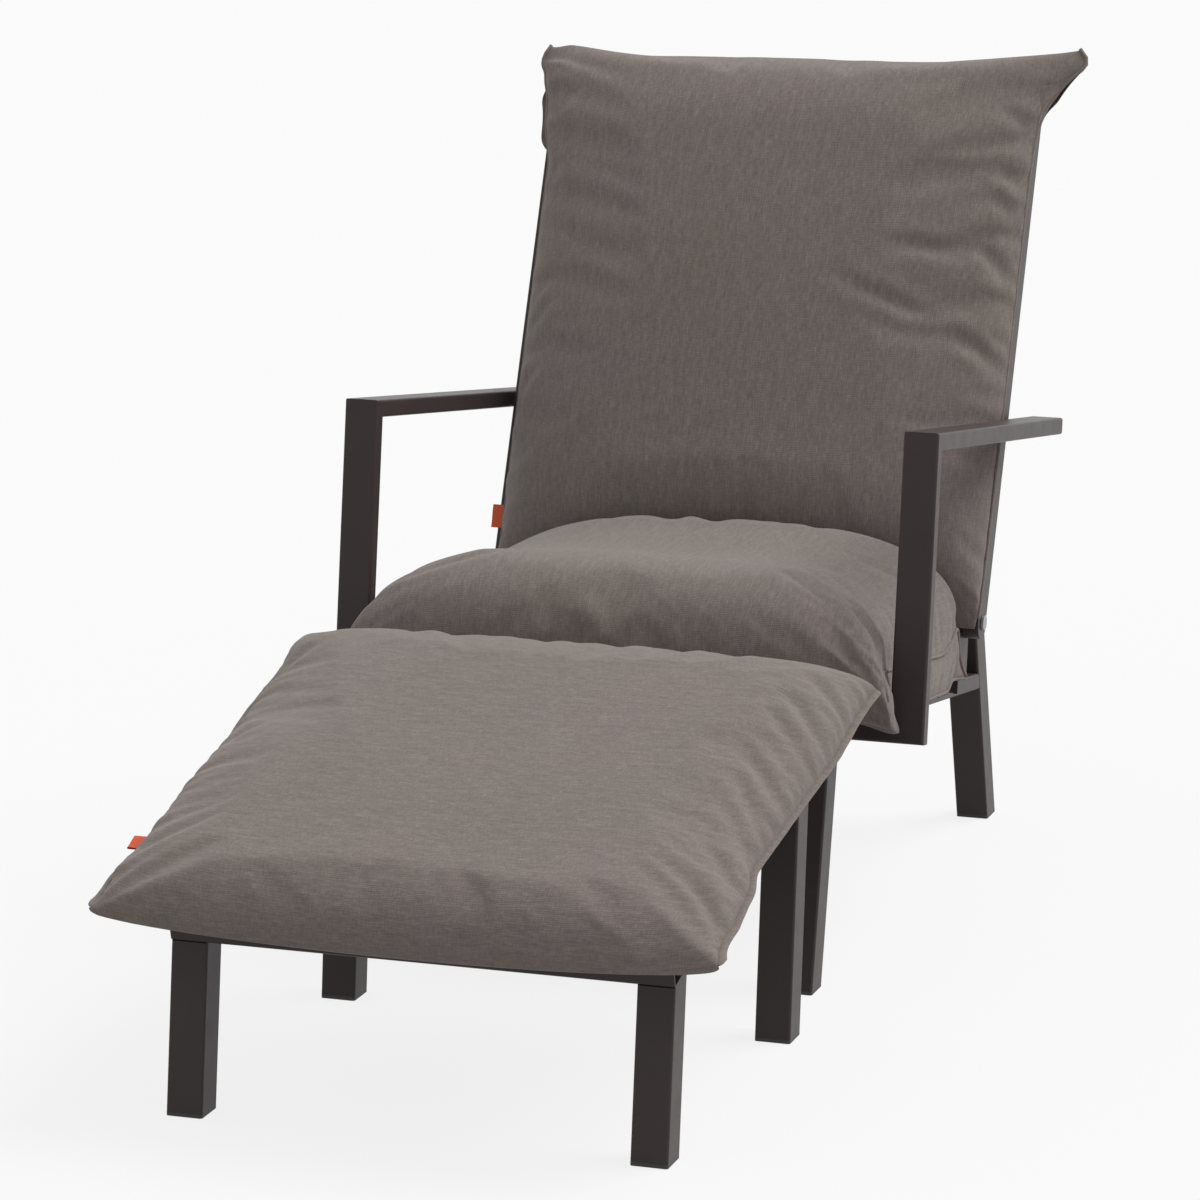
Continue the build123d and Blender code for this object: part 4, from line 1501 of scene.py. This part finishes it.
@dataclass
class StoolCushion(Cushion):
    """Footstool cushion: a pillow sewn at its middle height."""

    name: str = "stool_cushion_cover"
    plane: WorkPlane = STOOL
    profile: Sequence[Row] = (
        Row(-60, 46, -54, 20, 334, -54, 20), Row(-58, 47, -64, 34, 333, -45, 12),
        Row(-48, 47, -62, 58, 330, -30, 5), Row(-22, 47, -36, 82, 322, -3, 0.4),
        Row(50, 47, 36, 97, 313, 50, 0.4), Row(110, 47, 110, 103, 311, 110, 0.4),
        Row(205, 47, 205, 108, 316, 205, 0.4), Row(300, 47, 300, 112, 322, 300, 0.4),
        Row(375, 47, 375, 115, 327, 375, 0.4), Row(440, 47, 438, 114, 327, 440, 0.4),
        Row(505, 46, 500, 100, 328, 496.5, 0.4), Row(536, 44, 534, 72, 330, 518, 6),
        Row(550, 42, 545, 42, 330, 545, 42))
    level: float = 20.0
    replaced: tuple[str, ...] = ("stool_cushion",)
    pucker: Pucker = Pucker(1.7, 30.0, 34.0, 51)
    columns: int = 97
    rows: int = 119
    crown_power: float = 3.4
    crown_height: float = 70.0
    border_rows: int = 1
    shift: float = 5.0
    fold_floor: float = 35.0
    front_power: float = 2.0
    front_share: float = 0.6
    front_heights: Span = (24.0, 44.0)
    front_along: Span = (-50.0, 0.0)
    left_rear_power: float = 2.4
    left_rear_share: float = 0.9
    left_rear_along: Stretch = Stretch((200.0, 360.0), (430.0, 500.0))
    left_swell: float = 13.0
    left_swell_along: Stretch = Stretch((-50.0, 10.0), (120.0, 300.0))
    right_swell: float = 9.0
    right_swell_along: Stretch = Stretch((-40.0, 20.0), (80.0, 130.0))
    lower_power: float = 2.1
    lower_power_gain: float = 0.5
    lower_power_along: Span = (-40.0, 20.0)
    frame_half: float = 273.0
    frame_along: Span = (-2.0, 497.0)
    right_fold: Fold = Fold(4.2, 8.0)
    left_fold: Fold = Fold(3.0, 8.0)
    right_folds: Sequence[tuple] = (
        ((315, 323), (284, 354), (251, 389)), ((333, 349), (294, 396), (252, 430)),
        ((335, 424), (301, 452), (266, 474)), ((330, 94), (298, 156), (253, 211)),
        ((330, 41), (302, 88), (267, 125)), ((322, 223), (282, 274), (241, 314)),
        ((330, -18), (301, 22), (258, 62)), ((318, 165), (288, 215), (250, 262)))
    left_folds: Sequence[tuple] = (
        ((-300, 10), (-270, 40), (-230, 62)), ((-305, 420), (-280, 450), (-240, 470)),
        ((-300, 240), (-276, 262), (-244, 276)))
    flange: Edging = Edging(10.0, 3.6, 3.4, 0.35, 40.0)
    flange_rows: Rows = (2, -2)

    def round_shoulders(self, left: Array, along: Array) -> None:
        """Round the front shoulder and, at the left, the rear one.

        Args:
            left: Which points are on the left.
            along: Places along the cushion.
        """
        rise = self.top[self.columns // 2, :, 2] - self.level
        front = (1 - smooth(*self.front_heights, rise)) * (1 - smooth(*self.front_along, along))
        rear = self.left_rear_along.weigh(along, self.left_rear_share * left)
        self.ease(self.front_power, self.front_share * front)
        self.ease(self.left_rear_power, rear)

    def close_sides(self, share: Array, along: Array) -> None:
        """Lift the lower sheet to the seam at the sides, along a superellipse.

        Args:
            share: Shares of the half width.
            along: Places along the cushion.
        """
        power = self.lower_power + self.lower_power_gain * smooth(*self.lower_power_along, along)
        full = (1 - np.minimum(share, 1) ** power) ** (1 / power)
        edge = self.seam_edge()
        self.bottom[..., 0] = self.top[..., 0]
        for axis in (1, 2):
            step = self.bottom[..., axis] - edge[..., axis]
            self.bottom[..., axis] = edge[..., axis] + step * full
        self.rest_on_frame(self.bottom)

    def finish_sheets(self) -> None:
        """Round the shoulders, swell and close the sides, then fold and gather the upper sheet."""
        along = self.top[..., 1]
        left = self.top[..., 0] < 0
        self.round_shoulders(left, along)
        share = np.abs(self.top[..., 0]) / np.abs(self.top[-1, :, 0])
        left_swell = self.left_swell_along.weigh(along, self.left_swell * left)
        right_swell = self.right_swell_along.weigh(along, self.right_swell * ~left)
        self.top[..., 0] += (right_swell - left_swell) * share ** 2
        self.close_sides(share, along)
        self.folds(self.right_folds, self.right_fold)
        self.folds(self.left_folds, self.left_fold)
        self.gather()

    def rest_on_frame(self, points: Array) -> None:
        """Lift points over the frame to just above its top face.

        Args:
            points: Points in the footstool's plane, changed in place.
        """
        front, rear = self.frame_along
        over = (np.abs(points[..., 0]) < self.frame_half) & (points[..., 1] > front)
        over &= points[..., 1] < rear
        lowest = self.level + SOFT_GAP
        points[..., 2] = np.where(over, np.maximum(points[..., 2], lowest), points[..., 2])

    def settle(self, obj: bpy.types.Object) -> None:
        """Press it flat on the frame.

        Args:
            obj: The cover.
        """
        local = self.plane.local(coordinates(obj.data))
        self.rest_on_frame(local)
        move_points(obj.data, self.plane.world(local))

    def trim(self) -> list[bpy.types.Object]:
        """Flanges along the side seams.

        Returns:
            The flanges.
        """
        return [self.edging("stool_side_flange_", side, self.flange, self.flange_rows) for side in Side]


@dataclass(frozen=True)
class Tab:
    """A small folded ribbon in a left seam: a strip that goes out, turns and comes back.

    The root is the middle of its sewn end, and long is its length along the seam.
    """

    name: str
    plane: WorkPlane
    root: Point
    long: float
    body: Body
    reach: float = 15.0
    sewn_in: float = 4.0
    half_thick: float = 1.1
    steps: int = 9
    curl: float = 1.2
    curl_length: float = 7.0

    def build(self, ribbon: bpy.types.Material) -> None:
        """Make the strip in its finish and let it ride on its body.

        Args:
            ribbon: The finish.
        """
        turn = np.linspace(0, math.pi, self.steps)
        turned = -self.reach - self.half_thick * np.sin(turn)
        out = np.concatenate([[self.sewn_in], turned, [self.sewn_in]])
        rise = self.half_thick * np.concatenate([[1.0], np.cos(turn), [-1.0]])
        along = np.linspace(-self.long / 2, self.long / 2, self.steps)
        points = np.zeros((len(out), len(along), 3))
        points[..., 0] = self.root[0] + out[:, None]
        points[..., 1] = self.root[1] + along
        points[..., 2] = self.root[2] + rise[:, None] + self.curl * np.sin(along / self.curl_length)
        cloth = np.zeros(points.shape)
        cloth[..., 0] = np.linspace(0, 2 * self.reach, len(out))[:, None] * MM
        cloth[..., 1] = along * MM
        strip = Patch(self.plane.world(points), cloth, np.zeros(points.shape[:2]))
        obj = make_mesh(self.name, *joined([strip])[:3])
        obj.data.materials.append(ribbon)
        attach(obj, self.body.value)
        log.info("%s sewn in", self.name)


@dataclass
class Upholstery:
    """The soft pieces of the armchair and the footstool."""

    chair_cloth: bpy.types.Material
    stool_cloth: bpy.types.Material
    ribbon: bpy.types.Material
    bend_start: Point = (0.0, 352.0, -190.0)
    bend_end: Point = (0.0, 400.0, -110.0)
    back_tab: Tab = Tab("back_tab", BACKREST, (-298.0, 85.0, 24.0), 28.0, Body.BACK)
    stool_tab: Tab = Tab("stool_tab", STOOL, (-326.0, 81.0, 64.0), 21.0, Body.FOOTSTOOL)

    def chair(self) -> None:
        """Seat and back cushions, and the back's tab."""
        start, end = DECK.world(np.array([self.bend_start, self.bend_end]))
        for cushion in (SeatCushion(), BackCushion()):
            for piece in (cushion.build(), *cushion.trim()):
                piece.data.materials.append(self.chair_cloth)
                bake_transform(piece)
                log.info("%s dressed", piece.name)
        self.back_tab.build(self.ribbon)

    def stool(self) -> None:
        """Footstool cushion, which rides on the footstool."""
        cushion = StoolCushion()
        for piece in (cushion.build(), *cushion.trim()):
            piece.data.materials.append(self.stool_cloth)
            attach(piece, Body.FOOTSTOOL.value)
            log.info("%s dressed", piece.name)
        self.stool_tab.build(self.ribbon)


# Frame and studio


@dataclass
class MetalFrame:
    """The CAD nodes, which keep their meshes and get the finishes that the record names."""

    finishes: dict[Slot, bpy.types.Material]

    def dress(self) -> None:
        """Give each node its finish and its slot."""
        chosen = {row["node"]: Slot(row["material_slot"]) for row in frame["record"]["subparts"]}
        for name, obj in frame["nodes"].items():
            obj.data.materials.clear()
            obj.data.materials.append(self.finishes[chosen[name]])
        log.info("%d frame nodes dressed", len(frame["nodes"]))


@dataclass(frozen=True)
class Studio:
    """Floor, light and camera; the camera stands where the frame's edges in the photograph put it.

    Lengths are in metres, the view's angles in degrees, and the focal length in pixels of an
    image that is image_width wide. The eye's y is measured from the hinge.
    """

    floor_tone: float = 0.42
    floor_roughness: float = 0.95
    floor_glow: float = 0.75
    glow_strength: float = 1.11
    floor_span: float = 14.0
    floor_drop: float = 0.0006
    world_strength: float = 0.63
    backdrop_strength: float = 0.985
    key_strength: float = 2.3
    key_angle: float = 0.7
    key_place: Point = (1.85, 1.2, 2.9)
    key_aim: Point = (0.0, -0.1, 0.0)
    azimuth: float = 18.3954
    elevation: float = 12.437
    focal_length: float = 4964.85
    image_width: float = 1200.0
    sensor_width: float = 36.0
    far_clip: float = 60.0
    eye: Point = (1.69186, -5.602811, 1.61850)

    def floor(self) -> None:
        """A pale floor that keeps the object's shadow."""
        sheet = Finish("pale_floor")
        tone = self.floor_tone
        sheet.set(Base_Color=(tone, tone, tone, 1.0), Roughness=self.floor_roughness,
                  Specular_IOR_Level=0.0)
        glow = sheet.add("ShaderNodeEmission", {}, {"Color": WHITE, "Strength": self.glow_strength})
        shown = sheet.add("ShaderNodeMixShader", {}, [sheet.seen() * self.floor_glow, sheet.shader, glow])
        span, level = self.floor_span, -self.floor_drop
        corners = [[-span, -span, level], [span, -span, level], [span, span, level], [-span, span, level]]
        obj = make_mesh("floor", np.array(corners), np.array([[0, 1, 2, 3]]))
        obj.data.materials.append(sheet.done(shown))

    def light(self) -> None:
        """A white world and one broad, even light from the upper right."""
        world = bpy.data.worlds.new("studio")
        world.use_nodes = True
        sheet = NodeSheet(world.node_tree)
        lit, backdrop = (sheet.add("ShaderNodeBackground", {}, {"Color": WHITE, "Strength": strength})
                         for strength in (self.world_strength, self.backdrop_strength))
        shown = sheet.add("ShaderNodeMixShader", {}, [sheet.seen(), lit, backdrop])
        sheet.show("ShaderNodeOutputWorld", shown)
        bpy.context.scene.world = world
        lamp = bpy.data.lights.new("key", "SUN")
        lamp.angle = self.key_angle
        lamp.energy = self.key_strength
        key = bpy.data.objects.new("key", lamp)
        key.location = self.key_place
        aim = Vector(self.key_aim) - key.location
        key.rotation_euler = aim.to_track_quat("-Z", "Y").to_euler()
        bpy.context.scene.collection.objects.link(key)

    def camera(self) -> None:
        """The photograph's viewpoint."""
        azimuth, elevation = math.radians(self.azimuth), math.radians(self.elevation)
        ahead = Vector((-math.sin(azimuth) * math.cos(elevation),
                        math.cos(azimuth) * math.cos(elevation), -math.sin(elevation)))
        data = bpy.data.cameras.new("view")
        data.sensor_width = self.sensor_width
        data.lens = self.focal_length / self.image_width * self.sensor_width
        data.clip_end = self.far_clip
        cam = bpy.data.objects.new("view", data)
        right = ahead.cross(Vector((0, 0, 1))).normalized()
        up = right.cross(ahead)
        turn = Matrix((right, up, -ahead)).transposed().to_4x4()
        x, y, z = self.eye
        cam.matrix_world = Matrix.Translation((x, HINGE[1] + y, z)) @ turn
        bpy.context.scene.collection.objects.link(cam)
        bpy.context.scene.camera = cam


def main() -> None:
    """Build the armchair's scene."""
    logging.basicConfig(level=logging.INFO, format="%(message)s")
    finishes = {
        Slot.FRAME: PowderCoat().make(),
        Slot.PROP_TUBE: PowderCoat("satin_coat", (34, 34, 35), (52, 52, 53), 0.38, 0.45).make(),
        Slot.PROP_ROD: ZincPlate("zinc_rod", (182, 183, 186), (1.0, 1.0, 0.05)).make(),
        Slot.ZINC: ZincPlate().make(),
        Slot.PLASTIC: MouldedPlastic().make(),
        Slot.BUSH: MouldedPlastic("nylon_bush", (48, 48, 49)).make(),
        Slot.FABRIC: HeatheredCloth().make(),
    }
    MetalFrame(finishes).dress()
    stool_cloth = HeatheredCloth("stool_cloth", Lay.ACROSS).make()
    upholstery = Upholstery(finishes[Slot.FABRIC], stool_cloth, RibbonTab().make())
    upholstery.chair()
    upholstery.stool()
    studio = Studio()
    studio.floor()
    studio.light()
    studio.camera()
    bpy.context.scene.view_settings.view_transform = "Standard"


if __name__ == "__main__":
    main()
